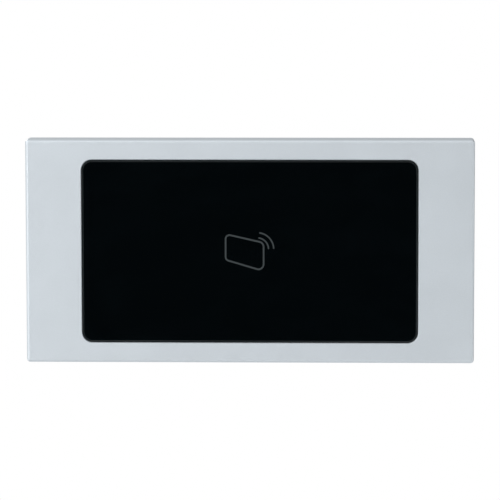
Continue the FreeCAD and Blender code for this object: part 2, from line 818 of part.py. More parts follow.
def wave_outline(middle, radius, half, start, end):
    """A band along an arc in a plane parallel to the front, with round ends."""

    def at(distance, angle):
        return middle + Vector(distance * math.cos(angle), 0, distance * math.sin(angle))

    mid = (start + end) / 2
    cap = half / radius
    edges = [
        Part.Arc(*(at(radius + half, a) for a in (start, mid, end))),
        Part.Arc(at(radius + half, end), at(radius, end + cap), at(radius - half, end)),
        Part.Arc(*(at(radius - half, a) for a in (end, mid, start))),
        Part.Arc(at(radius - half, start), at(radius, start - cap), at(radius + half, start)),
    ]
    return Part.Wire([edge.toShape() for edge in edges])


def symbol_diffuser():
    """Milky pad on the back of the window, in front of the light tunnel."""
    body = new_body("symbol_diffuser")
    drawn = draw_rectangle(
        sketch(body, D.glass_thickness - D.panel_depth),
        D.diffuser_width,
        D.diffuser_height,
        D.diffuser_corner,
    )
    pad(body, drawn, D.diffuser_thickness)
    return node(body, "symbol_diffuser")


# ---------------------------------------------------------------- antenna board and carrier


def header_opening(drawn, gap):
    """The hole that the board-to-board socket passes, on a sketch centred on the header."""
    width = D.header_width + 2 * gap
    return draw_rectangle(drawn, width, 4 * D.header_pitch + 2 * gap, gap)


def tunnel_opening(drawn):
    """The hole that the light tunnel passes."""
    gap = D.tunnel_clearance
    return draw_rectangle(
        drawn,
        D.tunnel_width + 2 * gap,
        D.tunnel_height + 2 * gap,
        D.tunnel_corner + gap,
    )


def antenna_board():
    body = new_body("antenna_board")
    drawn = draw_rectangle(
        sketch(body, D.antenna_front), D.antenna_width, D.antenna_height, D.antenna_corner
    )
    draw_four_circles(drawn, D.small_screw_shank + D.screw_clearance, D.post_x, D.post_z)
    tunnel_opening(drawn)
    pad(body, drawn, D.antenna_thickness)
    return node(body, "antenna_board")


def antenna_coil():
    """Copper track on the front of the antenna board: one rectangular spiral, wound inwards."""
    front = D.antenna_front.value
    pitch, half = D.coil_pitch.value, D.coil_track.value / 2
    reach_x = (D.coil_width.value - D.coil_track.value) / 2
    reach_z = (D.coil_height.value - D.coil_track.value) / 2
    turns = int(D.coil_turns.value)

    def edge(offset):
        """Corners of one edge of the track. Each turn starts where the turn before it ended."""
        corners = []
        for turn in range(turns):
            x = reach_x - turn * pitch + offset
            z = reach_z - turn * pitch + offset
            start_z = z + pitch if turn else reach_z + half
            corners += [(-x, -start_z), (-x, z), (x, z), (x, -z)]
        corners.append((turns * pitch - reach_x, -z))
        return corners

    corners = edge(half) + edge(-half)[::-1]
    points = [Vector(x, front, z) for x, z in corners]
    outline = Part.makePolygon(points + points[:1])
    copper = Part.Face(outline).extrude(Vector(0, -D.coil_thickness.value, 0))
    return computed(copper, "antenna_coil")


def ferrite_sheet():
    body = new_body("ferrite_sheet")
    y = D.antenna_front + D.antenna_thickness
    drawn = draw_rectangle(
        sketch(body, y),
        D.antenna_width - 2 * D.ferrite_inset,
        D.antenna_height - 2 * D.ferrite_inset,
        D.antenna_corner,
    )
    draw_four_circles(drawn, D.small_screw_head, D.post_x, D.post_z)
    tunnel_opening(drawn)
    pad(body, drawn, D.ferrite_thickness)
    hole = header_opening(sketch(body, y, D.header_x, 0), D.header_opening_gap)
    pocket(body, hole, D.ferrite_thickness)
    return node(body, "ferrite_sheet")


def carrier_face():
    return D.antenna_front + D.antenna_thickness + D.ferrite_thickness


def antenna_carrier():
    """White plate that holds the antenna board on the posts, with the light tunnel through it."""
    body = new_body("antenna_carrier")
    face = carrier_face()
    drawn = draw_rectangle(
        sketch(body, face),
        D.antenna_width - 2 * D.carrier_inset,
        D.antenna_height - 2 * D.carrier_inset,
        D.antenna_corner,
    )
    pad(body, drawn, D.carrier_thickness)
    tube = draw_rectangle(
        sketch(body, D.tunnel_front), D.tunnel_width, D.tunnel_height, D.tunnel_corner
    )
    tunnel_length = D.board_front - D.tunnel_clearance - D.tunnel_front
    pad(body, tube, tunnel_length)
    bore = draw_rectangle(
        sketch(body, D.tunnel_front),
        D.tunnel_width - 2 * D.tunnel_wall,
        D.tunnel_height - 2 * D.tunnel_wall,
        D.tunnel_corner - D.tunnel_wall / 2,
    )
    pocket(body, bore, tunnel_length)
    screw_holes = draw_four_circles(
        sketch(body, face), D.small_screw_shank + D.screw_clearance, D.post_x, D.post_z
    )
    pocket(body, screw_holes, D.carrier_thickness)
    header_hole = header_opening(sketch(body, face, D.header_x, 0), D.header_opening_gap)
    pocket(body, header_hole, D.carrier_thickness)
    return node(body, "antenna_carrier")


# ---------------------------------------------------------------- screws


def screw(name, head, rise, shank, length):
    """A cross-recessed pan head screw along +Y, its seat at y = 0 and its head towards -Y."""
    brim = rise / 3
    crown = head * 0.6
    profile = [(0, -rise), (crown, -rise), (head, -brim), (head, 0), (shank, 0)]
    profile += [(shank, length - shank), (shank / 2, length), (0, length)]
    body = turned(name, profile)
    for width, height in ((D.recess_width, 2 * crown), (2 * crown, D.recess_width)):
        slot = draw_rectangle(sketch(body, -rise), width, height, D.recess_width / 4)
        pocket(body, slot, D.recess_depth)
    return body


def antenna_screws():
    one = screw(
        "antenna_screw",
        D.small_screw_head,
        D.small_screw_rise,
        D.small_screw_shank,
        D.antenna_screw_length,
    )
    put(one, D.post_x, D.antenna_front, D.post_z)
    return node(four_ways(one), "antenna_screws")


def board_screws():
    one = screw(
        "board_screw",
        D.small_screw_head,
        D.small_screw_rise,
        D.small_screw_shank,
        D.board_screw_length,
    )
    put(one, D.standoff_x, D.board_front, D.standoff_z)
    return node(four_ways(one), "board_screws")


def housing_screws():
    """The screws that draw the housing into the panel: they are driven from behind."""
    seat = D.flange_thickness - D.pocket_depth - D.counterbore_depth
    length = D.pocket_depth + seat + D.housing_screw_bite
    one = screw(
        "housing_screw",
        D.housing_screw_head,
        D.housing_screw_rise,
        D.housing_screw_shank,
        length,
    )
    one.Placement = Placement(Vector(), Rotation(Vector(0, 0, 1), 180))
    put(one, D.housing_screw_x, seat, D.housing_screw_z)
    return node(four_ways(one), "housing_screws")


# ---------------------------------------------------------------- rear housing and its trim


def rear_housing():
    """Black moulded box with a flange that sits in the panel's pocket."""
    body = new_body("rear_housing")
    flange_front = -D.pocket_depth
    flange_width = D.panel_width - 2 * (D.rim_width + D.flange_gap)
    flange_height = D.panel_height - 2 * (D.rim_width + D.flange_gap)
    flange = draw_rectangle(
        sketch(body, flange_front), flange_width, flange_height, D.pocket_corner
    )
    pad(body, flange, D.flange_thickness)

    notch = 2 * D.lug_size + 2 * D.notch_gap
    for across, up in signs():
        corner = sketch(
            body, flange_front, across * D.panel_width / 2, up * D.panel_height / 2
        )
        pocket(body, draw_rectangle(corner, notch, notch, D.lug_corner), D.flange_thickness)

    box = draw_rectangle(
        sketch(body, flange_front), D.housing_width, D.housing_height, D.housing_corner
    )
    pad(body, box, D.housing_rear - flange_front)
    dress(body, "Fillet", D.housing_round, flat_at(D.housing_rear.value))

    cavity = draw_rectangle(
        sketch(body, flange_front),
        D.housing_width - 2 * D.housing_wall,
        D.housing_height - 2 * D.housing_wall,
        D.cavity_corner,
    )
    pocket(body, cavity, D.housing_rear - D.back_wall - flange_front)

    groove = draw_gasket(sketch(body, flange_front))
    pocket(body, groove, D.gasket_height)

    inner_face = D.housing_rear - D.back_wall
    post_end = carrier_face() + D.carrier_thickness
    add_posts(body, D.post_radius, D.post_x, D.post_z, post_end, D.post_pilot_depth)
    add_posts(
        body,
        D.standoff_radius,
        D.standoff_x,
        D.standoff_z,
        board_back(),
        D.standoff_pilot_depth,
    )

    guide_outside = D.tamper_guide_inside + D.tamper_guide_wall
    guide = draw_circle(sketch(body, inner_face, D.tamper_x, D.tamper_z), guide_outside)
    draw_circle(guide, D.tamper_guide_inside)
    pad(body, guide, D.tamper_guide_length, to_rear=False)
    plunger_hole = draw_circle(
        sketch(body, inner_face, D.tamper_x, D.tamper_z), D.tamper_rod + D.tamper_slack
    )
    pocket(body, plunger_hole, D.back_wall)

    cut_link_windows(body, inner_face)
    cut_switch_window(body, inner_face)
    label_hole = draw_rectangle(
        sketch(body, D.housing_rear, 0, D.label_z),
        D.label_width + 2 * D.label_gap,
        D.label_height + 2 * D.label_gap,
        D.label_corner + D.label_gap,
    )
    pocket(body, label_hole, D.label_recess, to_rear=False)
    add_marks(body)
    add_gussets(body)

    seat = D.flange_thickness - D.pocket_depth
    through = draw_four_circles(
        sketch(body, flange_front),
        D.housing_screw_shank + D.screw_clearance,
        D.housing_screw_x,
        D.housing_screw_z,
    )
    pocket(body, through, D.flange_thickness)
    counterbores = draw_four_circles(
        sketch(body, seat), D.counterbore_radius, D.housing_screw_x, D.housing_screw_z
    )
    pocket(body, counterbores, D.counterbore_depth, to_rear=False)
    return node(body, "rear_housing")


def draw_gasket(drawn):
    """The ring between the housing's flange and the pocket floor, round the box's cavity."""
    inner_corner = D.cavity_corner + D.gasket_gap
    return draw_ring(
        drawn,
        D.housing_width,
        D.housing_height,
        D.housing_wall - D.gasket_gap - D.gasket_width,
        D.gasket_width,
        inner_corner + D.gasket_width,
        inner_corner,
    )


def add_posts(body, radius, x, z, end, pilot_depth):
    """Four posts on the rear wall, up to a depth, each with a pilot hole in its end."""
    inner_face = D.housing_rear - D.back_wall
    posts = draw_four_circles(sketch(body, inner_face), radius, x, z)
    pad(body, posts, inner_face - end, to_rear=False)
    holes = draw_four_circles(sketch(body, end), D.pilot_radius, x, z)
    pocket(body, holes, pilot_depth)


def cut_link_windows(body, inner_face):
    """A window and a shallow recess round each link socket."""
    width = D.link_width + 2 * D.link_window_gap
    height = D.link_height + 2 * D.link_window_gap
    recess_floor = board_back() + D.link_length
    for side in (-1, 1):
        window = sketch(body, inner_face, side * D.link_x, D.link_z)
        pocket(body, draw_rectangle(window, width, height, D.link_window_gap), D.back_wall)
        recess = sketch(body, D.housing_rear, side * D.link_x, D.link_z)
        draw_rectangle(
            recess,
            width + 2 * D.link_recess_margin,
            height + 2 * D.link_recess_margin,
            D.link_recess_corner,
        )
        pocket(body, recess, D.housing_rear - recess_floor, to_rear=False)


def cut_switch_window(body, inner_face):
    """The window over the address switch, with a recess for its plug."""
    width = D.switch_width + 2 * D.switch_window_gap
    height = D.switch_height + 2 * D.switch_window_gap
    window = sketch(body, inner_face, 0, D.switch_z)
    pocket(body, draw_rectangle(window, width, height, D.switch_window_gap), D.back_wall)
    recess = sketch(body, D.housing_rear, 0, D.switch_z)
    draw_rectangle(
        recess, width + 2 * D.plug_margin, height + 2 * D.plug_margin, D.plug_corner
    )
    pocket(body, recess, D.plug_depth, to_rear=False)


def add_marks(body):
    """A raised arrow over each link socket: one points at its socket and the other away from it."""
    middle = D.link_z + D.mark_offset
    half = D.mark_size / 2
    for side in (-1, 1):
        drawn = sketch(body, D.housing_rear, side * D.link_x, middle)
        draw_outline(drawn, [(-half, -side * half), (half, -side * half), (0, side * half)])
        pad(body, drawn, D.mark_rise)


def add_gussets(body):
    """Three triangular webs between the flange and each end of the box."""
    foot = D.flange_thickness - D.pocket_depth
    side = D.housing_width / 2
    for level in (-D.gusset_spread, as_size(0), D.gusset_spread):
        for across in (-1, 1):
            drawn = sketch(body, 0, plane="XY_Plane")
            middle = level - D.gusset_thickness / 2
            put(drawn, 0, 0, middle, "AttachmentOffset")
            profile = [
                (across * (side - D.gusset_root), foot - D.gusset_root),
                (across * (side + D.gusset_length), foot - D.gusset_root),
                (across * (side + D.gusset_length), foot),
                (across * side, foot + D.gusset_rise),
                (across * (side - D.gusset_root), foot + D.gusset_rise),
            ]
            draw_outline(drawn, profile)
            feature = body.newObject("PartDesign::Pad", "gusset")
            feature.Profile = drawn
            bind(feature, "Length", D.gusset_thickness)


def housing_gasket():
    body = new_body("housing_gasket")
    drawn = draw_gasket(sketch(body, -D.pocket_depth))
    pad(body, drawn, D.gasket_height)
    return node(body, "housing_gasket")


def rating_label():
    body = new_body("rating_label")
    drawn = draw_rectangle(
        sketch(body, D.housing_rear - D.label_recess, 0, D.label_z),
        D.label_width,
        D.label_height,
        D.label_corner,
    )
    pad(body, drawn, D.label_thickness)
    return node(body, "rating_label")


def address_switch_plug():
    """Silicone plug over the address switch, with a skirt in the window and a tab to pull."""
    body = new_body("address_switch_plug")
    window_width = D.switch_width + 2 * D.switch_window_gap
    window_height = D.switch_height + 2 * D.switch_window_gap
    floor = D.housing_rear - D.plug_depth
    plate = draw_rectangle(
        sketch(body, floor, 0, D.switch_z),
        window_width + 2 * (D.plug_margin - D.plug_gap),
        window_height + 2 * (D.plug_margin - D.plug_gap),
        D.plug_corner - D.plug_gap,
    )
    pad(body, plate, D.plug_depth)
    dress(body, "Fillet", D.plug_gap, flat_at(D.housing_rear.value))
    skirt = draw_ring(
        sketch(body, floor, 0, D.switch_z),
        window_width,
        window_height,
        D.plug_gap,
        D.plug_skirt,
        D.switch_window_gap,
        D.switch_window_gap,
    )
    pad(body, skirt, D.plug_skirt_length, to_rear=False)
    tab = draw_rectangle(
        sketch(body, D.housing_rear, 0, D.switch_z),
        D.plug_tab_width,
        D.plug_tab_height,
        D.plug_tab_height / 3,
    )
    pad(body, tab, D.plug_tab_rise)
    return node(body, "address_switch_plug")


# ---------------------------------------------------------------- main board


def draw_pin_holes(drawn, side, places):
    """A round hole for each square pin."""
    for x, z in places:
        draw_circle(drawn, side * D.pin_hole, x, z)
    return drawn


def row_of_four(pitch):
    return [(step - 1.5) * pitch for step in range(4)]


def link_pin_places(side):
    return [(side * D.link_x + step, D.link_z) for step in row_of_four(D.link_pitch)]


def switch_pin_places():
    steps = row_of_four(D.switch_pitch)
    return [(step, D.switch_z + up * D.switch_row / 2) for up in (-1, 1) for step in steps]


def header_places():
    return [(D.header_x, step) for step in row_of_four(D.header_pitch)]


def main_board():
    body = new_body("main_board")
    drawn = draw_rectangle(
        sketch(body, D.board_front), D.board_width, D.board_height, D.board_corner
    )
    draw_four_circles(drawn, D.post_radius + D.board_post_gap, D.post_x, D.post_z)
    draw_four_circles(
        drawn, D.small_screw_shank + D.screw_clearance, D.standoff_x, D.standoff_z
    )
    draw_pin_holes(drawn, D.link_pin, link_pin_places(-1) + link_pin_places(1))
    draw_pin_holes(drawn, D.switch_pin, switch_pin_places())
    draw_pin_holes(drawn, D.header_pin, header_places())
    pad(body, drawn, D.board_thickness)
    return node(body, "main_board")


def board_back():
    return D.board_front + D.board_thickness


def link_sockets():
    """Two open nylon shells on the back of the board, each with two slots for the plug's lugs."""
    for side, name in ((-1, "link_socket_in"), (1, "link_socket_out")):
        x = side * D.link_x
        body = new_body(name)
        shell = draw_rectangle(
            sketch(body, board_back(), x, D.link_z), D.link_width, D.link_height, D.link_wall / 2
        )
        pad(body, shell, D.link_length)
        cavity = draw_rectangle(
            sketch(body, board_back() + D.link_floor, x, D.link_z),
            D.link_width - 2 * D.link_wall,
            D.link_height - 2 * D.link_wall,
            D.link_wall / 4,
        )
        pocket(body, cavity, D.link_length - D.link_floor)
        for along in (-1, 1):
            slot = draw_rectangle(
                sketch(
                    body,
                    board_back() + D.link_floor + D.link_wall,
                    x + along * D.link_slot_spread,
                    D.link_z + D.link_height / 2,
                ),
                D.link_slot,
                3 * D.link_wall,
                D.link_wall / 4,
            )
            pocket(body, slot, D.link_length)
        pin_holes = draw_pin_holes(sketch(body, board_back()), D.link_pin, link_pin_places(side))
        pocket(body, pin_holes, D.link_floor)
        node(body, name)


def square_pins(side, start, end, places):
    """Square pins from depth start to depth end, each with four chamfers at its rear tip."""
    pins = []
    for x, z in places:
        pin = block(side, end - start, side, x, start, z)
        pins.append(softened(pin, "Chamfer", side / 4, flat_at(end.value)))
    return group(pins)


def link_pins():
    start = D.board_front - D.pin_tail
    end = board_back() + D.link_length - D.link_pin_recess
    for side, name in ((-1, "link_pins_in"), (1, "link_pins_out")):
        node(square_pins(D.link_pin, start, end, link_pin_places(side)), name)


def address_switch():
    """The switch body with four slots, its pins, and a slider in each slot: the first is on."""
    body = new_body("address_switch_body")
    drawn = draw_rectangle(
        sketch(body, board_back(), 0, D.switch_z), D.switch_width, D.switch_height, D.slider_gap * 3
    )
    pad(body, drawn, D.switch_length)
    face = board_back() + D.switch_length
    dress(body, "Chamfer", D.slider_gap * 2, flat_at(face.value))
    slot_height = D.slider_height + D.slider_travel + 2 * D.slider_gap
    for step in row_of_four(D.switch_pitch):
        slot = draw_rectangle(
            sketch(body, face, step, D.switch_z),
            D.slider_width + 2 * D.slider_gap,
            slot_height,
            D.slider_gap,
        )
        pocket(body, slot, D.slider_depth + D.slider_gap, to_rear=False)
    node(body, "address_switch_body")

    start = D.board_front - D.pin_tail
    node(square_pins(D.switch_pin, start, board_back(), switch_pin_places()), "address_switch_pins")

    for number, step in enumerate(row_of_four(D.switch_pitch), start=1):
        up = 1 if number == 1 else -1
        z = D.switch_z + up * D.slider_travel / 2
        name = f"address_slider_{number}"
        slider = new_body(name)
        drawn = draw_rectangle(
            sketch(slider, face - D.slider_depth, step, z),
            D.slider_width,
            D.slider_height,
            D.slider_gap * 3,
        )
        pad(slider, drawn, D.slider_depth + D.slider_rise)
        top = (face + D.slider_rise).value
        dress(slider, "Chamfer", D.slider_gap * 2, flat_at(top))
        node(slider, name)


def tamper_parts():
    """A plunger through the rear wall, on a spring that stands on a small push switch."""
    switch_top = board_back() + D.tact_length
    switch = block(D.tact_size, D.tact_length, D.tact_size, D.tamper_x, board_back(), D.tamper_z)
    hole_depth = D.tact_depth + D.tact_travel + D.tact_slack
    hole = rod(
        D.tact_button + D.tact_slack,
        hole_depth,
        D.tamper_x,
        switch_top - hole_depth,
        D.tamper_z,
    )
    node(difference(switch, hole), "tamper_switch")

    button = turned(
        "tamper_switch_button",
        [
            (0, -D.tact_depth),
            (D.tact_button, -D.tact_depth),
            (D.tact_button, D.tact_rise),
            (0, D.tact_rise),
        ],
    )
    put(button, D.tamper_x, switch_top, D.tamper_z)
    node(button, "tamper_switch_button")

    flange_front = D.housing_rear - D.back_wall - D.tamper_flange_thickness
    tip = D.housing_rear + D.tamper_rise - flange_front
    plunger = turned(
        "tamper_plunger",
        [
            (0, 0),
            (D.tamper_flange, 0),
            (D.tamper_flange, D.tamper_flange_thickness),
            (D.tamper_rod, D.tamper_flange_thickness),
            (D.tamper_rod, tip),
            (0, tip),
        ],
    )
    dress(plunger, "Fillet", D.tamper_round, flat_at(tip.value))
    put(plunger, D.tamper_x, flange_front, D.tamper_z)
    node(plunger, "tamper_plunger")

    button_top = switch_top + D.tact_rise
    end_space = D.spring_wire + D.spring_end
    height = flange_front - button_top - 2 * end_space
    helix = doc.addObject("Part::Helix", "spring_path")
    bind(helix, "Radius", D.spring_radius)
    bind(helix, "Height", height)
    bind(helix, "Pitch", height / D.spring_turns)
    helix.SegmentLength = 1
    wire = doc.addObject("Part::Circle", "spring_wire")
    bind(wire, "Radius", D.spring_wire)
    wire.Placement = Placement(Vector(), Rotation(Vector(1, 0, 0), 90))
    put(wire, D.spring_radius, 0, 0)
    spring = doc.addObject("Part::Sweep", "spring")
    spring.Sections = [wire]
    spring.Spine = (helix, [])
    spring.Solid = True
    spring.Frenet = True
    spring.Placement = Placement(Vector(), Rotation(Vector(1, 0, 0), -90))
    put(spring, D.tamper_x, button_top + end_space, D.tamper_z)
    node(spring, "tamper_spring")


# ---------------------------------------------------------------- parts on the front of the main board


def front_block(width, thickness, height, x, z):
    """A block that stands on the front face of the main board."""
    return block(width, thickness, height, x, D.board_front - thickness, z)


def lead(width, rise):
    """A bent lead that leaves a chip's side at the origin, towards +X, with its foot on the board."""
    span, foot, gauge = D.lead_span.value, D.lead_foot.value, D.lead_gauge.value
    profile = [
        (0, -rise - gauge / 2),
        (span - foot, -rise - gauge / 2),
        (span - foot + gauge, -gauge),
        (span, -gauge),
        (span, 0),
        (span - foot, 0),
        (span - foot - gauge, -rise + gauge / 2),
        (0, -rise + gauge / 2),
    ]
    front = D.board_front.value
    points = [Vector(out, front + level, -width / 2) for out, level in profile]
    return Part.Face(Part.makePolygon(points + points[:1])).extrude(Vector(0, 0, width))


def rows_of_leads(one, reach, sides, count, pitch, x, z):
    """Copies of a lead in rows, one row on each side of a chip. A side is given in degrees."""
    leads = []
    for side in sides:
        for step in range(count):
            copy = one.copy()
            copy.translate(Vector(reach, 0, (step - (count - 1) / 2) * pitch))
            copy.rotate(Vector(0, 0, 0), Vector(0, 1, 0), -side)
            copy.translate(Vector(x, 0, z))
            leads.append(copy)
    return leads


def chip(width, thickness, height, x, z):
    """A chip's body on the front of the main board, its front edge broken."""
    body = front_block(width, thickness, height, x, z)
    face = (D.board_front - thickness).value
    return softened(body, "Chamfer", D.chip_break, flat_at(face))


def controller_chip():
    size, x, z = D.controller_size, D.controller_x, D.controller_z
    node(chip(size, D.controller_thickness, size, x, z), "controller_chip")
    leads = rows_of_leads(
        lead(D.controller_lead.value, D.controller_thickness.value / 2),
        size.value / 2,
        (0, 90, 180, 270),
        16,
        D.controller_pitch.value,
        x.value,
        z.value,
    )
    computed(Part.makeCompound(leads), "controller_leads")


def reader_chip():
    body = front_block(
        D.reader_size, D.reader_thickness, D.reader_size, D.reader_x, D.reader_z
    )
    node(body, "reader_chip")


def small_chips():
    """Two small-outline chips with four leads above and four below."""
    bodies, leads = [], []
    one = lead(D.small_chip_lead.value, D.small_chip_thickness.value / 2)
    for x in (D.small_chip_x, D.small_chip_x + D.small_chip_step):
        size = (D.small_chip_width, D.small_chip_thickness, D.small_chip_height)
        bodies.append(chip(*size, x, D.small_chip_z))
        leads += rows_of_leads(
            one,
            D.small_chip_height.value / 2,
            (90, 270),
            4,
            D.small_chip_pitch.value,
            x.value,
            D.small_chip_z.value,
        )
    node(group(bodies), "small_chips")
    computed(Part.makeCompound(leads), "small_chip_leads")


def regulator():
    """A regulator's body, and the wide tab and three legs that it stands on."""
    x, z = D.regulator_x, D.regulator_z
    size = (D.regulator_width, D.regulator_thickness, D.regulator_height)
    node(chip(*size, x, z), "regulator")
    out = (D.regulator_width + D.regulator_leg) / 2
    tab = front_block(D.regulator_leg, D.regulator_gauge, D.regulator_tab_width, x - out, z)
    legs = [
        front_block(
            D.regulator_leg,
            D.regulator_gauge,
            D.regulator_leg_width,
            x + out,
            z + step * D.regulator_pitch,
        )
        for step in (-1, 0, 1)
    ]
    node(group([tab, *legs]), "regulator_legs")


def crystals():
    """Two quartz cans with round ends, one by each chip that needs a clock."""
    cans = []
    for x, z, width in (
        (D.reader_crystal_x, D.reader_crystal_z, D.reader_crystal_width),
        (D.controller_x, D.controller_crystal_z, D.controller_crystal_width),
    ):
        can = front_block(width, D.crystal_thickness, D.crystal_height, x, z)
        cans.append(softened(can, "Fillet", D.crystal_round, upright(D.crystal_thickness)))
    return node(group(cans), "crystals")


def upright(length):
    """A test for the edges of a block that run its whole length along Y."""
    return lambda box: abs(box.YLength - length.value) < 1e-4


# Rows of chip parts: the first part's middle (x, z), how many parts, and the way that the row runs.
ACROSS, DOWN = (1, 0), (0, -1)
RESISTOR_ROWS = [(-9.0, 17.0, 8, ACROSS), (-27.0, -17.6, 3, ACROSS)]
CAPACITOR_ROWS = [(-9.0, 9.6, 4, ACROSS), (12.6, 2.4, 4, DOWN), (14.6, 7.2, 3, ACROSS)]


def places_in_rows(rows):
    step = D.chip_part_step
    return [
        (x + number * way[0] * step, z + number * way[1] * step)
        for x, z, count, way in rows
        for number in range(count)
    ]


def chip_parts():
    """Chip resistors and capacitors in rows, and the tinned ends of both."""
    middle = D.chip_part_width - 2 * D.chip_part_end
    ends = []

    def bodies(places, thickness):
        made = []
        for x, z in places:
            made.append(front_block(middle, thickness, D.chip_part_height, x, z))
            for side in (-1, 1):
                end_x = x + side * (D.chip_part_width - D.chip_part_end) / 2
                ends.append(
                    front_block(D.chip_part_end, thickness, D.chip_part_height, end_x, z)
                )
        return made

    resistors = bodies(places_in_rows(RESISTOR_ROWS), D.resistor_thickness)
    node(group(resistors), "chip_resistors")
    capacitors = bodies(places_in_rows(CAPACITOR_ROWS), D.ceramic_thickness)
    node(group(capacitors), "chip_capacitors")
    node(group(ends), "chip_part_ends")


def power_parts():
    """Two electrolytic capacitors, a can on a square base each, and a choke."""
    cans, bases = [], []
    seat = D.board_front - D.can_base_thickness
    z = D.can_z
    for x in (D.can_x, D.can_x + D.can_step):
        bases.append(front_block(D.can_base, D.can_base_thickness, D.can_base, x, z))
        can = rod(D.can_radius, D.can_length, x, seat - D.can_length, z)
        top = (seat - D.can_length).value
        cans.append(softened(can, "Fillet", D.can_round, flat_at(top)))
    node(group(cans), "capacitor_cans")
    node(group(bases), "capacitor_bases")
    size = D.choke_size
    choke = front_block(size, D.choke_thickness, size, D.choke_x, D.choke_z)
    node(softened(choke, "Fillet", D.choke_round, upright(D.choke_thickness)), "choke")


def buzzer():
    front = D.board_front - D.buzzer_length
    can = rod(D.buzzer_radius, D.buzzer_length, D.buzzer_x, front, D.buzzer_z)
    hole = rod(D.buzzer_hole, D.buzzer_length / 2, D.buzzer_x, front, D.buzzer_z)
    rounded = softened(can, "Fillet", D.can_round, flat_at(front.value))
    return node(difference(rounded, hole), "buzzer")


def status_leds():
    """Three LEDs in the light tunnel: white bodies, each with a round lens."""
    bodies, lenses = [], []
    front = D.board_front - D.led_thickness
    for step in (-1, 0, 1):
        x = step * D.led_spread
        body = front_block(D.led_width, D.led_thickness, D.led_height, x, 0)
        cup = rod(D.led_lens, D.led_lens_depth, x, front, 0)
        bodies.append(difference(body, cup))
        lenses.append(rod(D.led_lens, D.led_lens_depth, x, front, 0))
    node(group(bodies), "status_leds")
    node(group(lenses), "led_lenses")


def board_link():
    """Header on the main board, socket on the antenna board, and the pins between them."""
    length = 4 * D.header_pitch
    base = front_block(D.header_width, D.header_base, length, D.header_x, 0)
    bore = D.header_pin * D.pin_hole
    base_top = D.board_front - D.header_base
    holes = [rod(bore, D.header_base, x, base_top, z) for x, z in header_places()]
    node(difference(base, *holes), "board_header")
    start = D.header_pin_tip
    end = board_back() + D.pin_tail
    node(square_pins(D.header_pin, start, end, header_places()), "board_header_pins")

    top = D.antenna_front + D.antenna_thickness
    socket = block(D.header_width, D.header_socket_length, length, D.header_x, top, 0)
    bore_end = D.header_pin_tip - D.header_play
    bore_length = top + D.header_socket_length - bore_end
    bores = [rod(bore, bore_length, x, bore_end, z) for x, z in header_places()]
    return node(difference(socket, *bores), "board_socket")


# ---------------------------------------------------------------- build, check and write


def build_all():
    front_panel()
    frame_seal()
    window_glass()
    window_tape()
    card_symbol()
    symbol_diffuser()
    antenna_board()
    antenna_coil()
    ferrite_sheet()
    antenna_carrier()
    antenna_screws()
    main_board()
    board_screws()
    controller_chip()
    reader_chip()
    small_chips()
    regulator()
    crystals()
    chip_parts()
    power_parts()
    buzzer()
    status_leds()
    board_link()
    link_sockets()
    link_pins()
    address_switch()
    tamper_parts()
    rear_housing()
    housing_gasket()
    housing_screws()
    rating_label()
    address_switch_plug()
    doc.recompute()


def check_all():
    """Stops the build if any object failed or any sub-part has no valid shape."""
    for thing in doc.Objects:
        if {"Invalid", "Error"} & set(thing.State):
            raise ValueError(f"{thing.Label} failed: {thing.State}")
    for thing in NODES:
        shape = thing.Shape
        if shape.isNull() or not shape.isValid() or not shape.Solids:
            raise ValueError(f"{thing.Label} has no valid solid")


def write_all():
    os.makedirs("parts", exist_ok=True)
    for thing in NODES:
        thing.Shape.exportStep(f"parts/{thing.Label}.step")


build_all()
check_all()
write_all()
print(f"{len(NODES)} sub-parts written")
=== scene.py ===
"""The looks of the card reader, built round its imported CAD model. Lengths are in metres."""

import json
import math

import bmesh
import bpy
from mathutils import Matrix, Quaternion, Vector, noise


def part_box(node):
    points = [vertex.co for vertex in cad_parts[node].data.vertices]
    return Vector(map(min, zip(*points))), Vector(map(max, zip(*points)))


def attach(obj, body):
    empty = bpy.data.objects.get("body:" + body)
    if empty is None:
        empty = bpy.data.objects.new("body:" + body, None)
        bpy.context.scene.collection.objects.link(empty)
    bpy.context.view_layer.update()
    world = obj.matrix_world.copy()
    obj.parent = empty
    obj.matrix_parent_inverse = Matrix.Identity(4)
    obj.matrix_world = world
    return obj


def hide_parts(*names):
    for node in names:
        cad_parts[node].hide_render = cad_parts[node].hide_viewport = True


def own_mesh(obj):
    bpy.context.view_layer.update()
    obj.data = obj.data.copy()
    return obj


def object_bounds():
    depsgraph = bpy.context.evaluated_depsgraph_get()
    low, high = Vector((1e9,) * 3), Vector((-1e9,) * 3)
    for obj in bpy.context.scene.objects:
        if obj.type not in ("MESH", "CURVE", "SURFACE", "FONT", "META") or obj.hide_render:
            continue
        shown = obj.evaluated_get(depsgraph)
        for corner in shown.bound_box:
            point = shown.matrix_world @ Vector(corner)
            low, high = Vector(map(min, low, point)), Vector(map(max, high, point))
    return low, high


MM = 0.001

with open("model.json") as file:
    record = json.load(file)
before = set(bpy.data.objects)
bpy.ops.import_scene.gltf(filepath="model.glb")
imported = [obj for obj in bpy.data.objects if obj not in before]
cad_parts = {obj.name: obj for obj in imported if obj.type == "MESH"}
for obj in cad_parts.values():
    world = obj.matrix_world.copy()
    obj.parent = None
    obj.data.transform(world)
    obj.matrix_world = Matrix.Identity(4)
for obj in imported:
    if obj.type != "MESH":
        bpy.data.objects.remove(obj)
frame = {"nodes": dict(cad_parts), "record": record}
cad_low, cad_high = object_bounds()
nodes = frame["nodes"]


# ---------------------------------------------------------------- materials

# The Mix node's two inputs, for plain numbers and for colours, and its colour output.
MIX_NUMBERS = (2, 3)
MIX_COLOURS = (6, 7)
MIX_COLOUR_OUT = 2

# Most values of a noise texture lie between these two.
NOISE_LOW, NOISE_HIGH = 0.3, 0.7


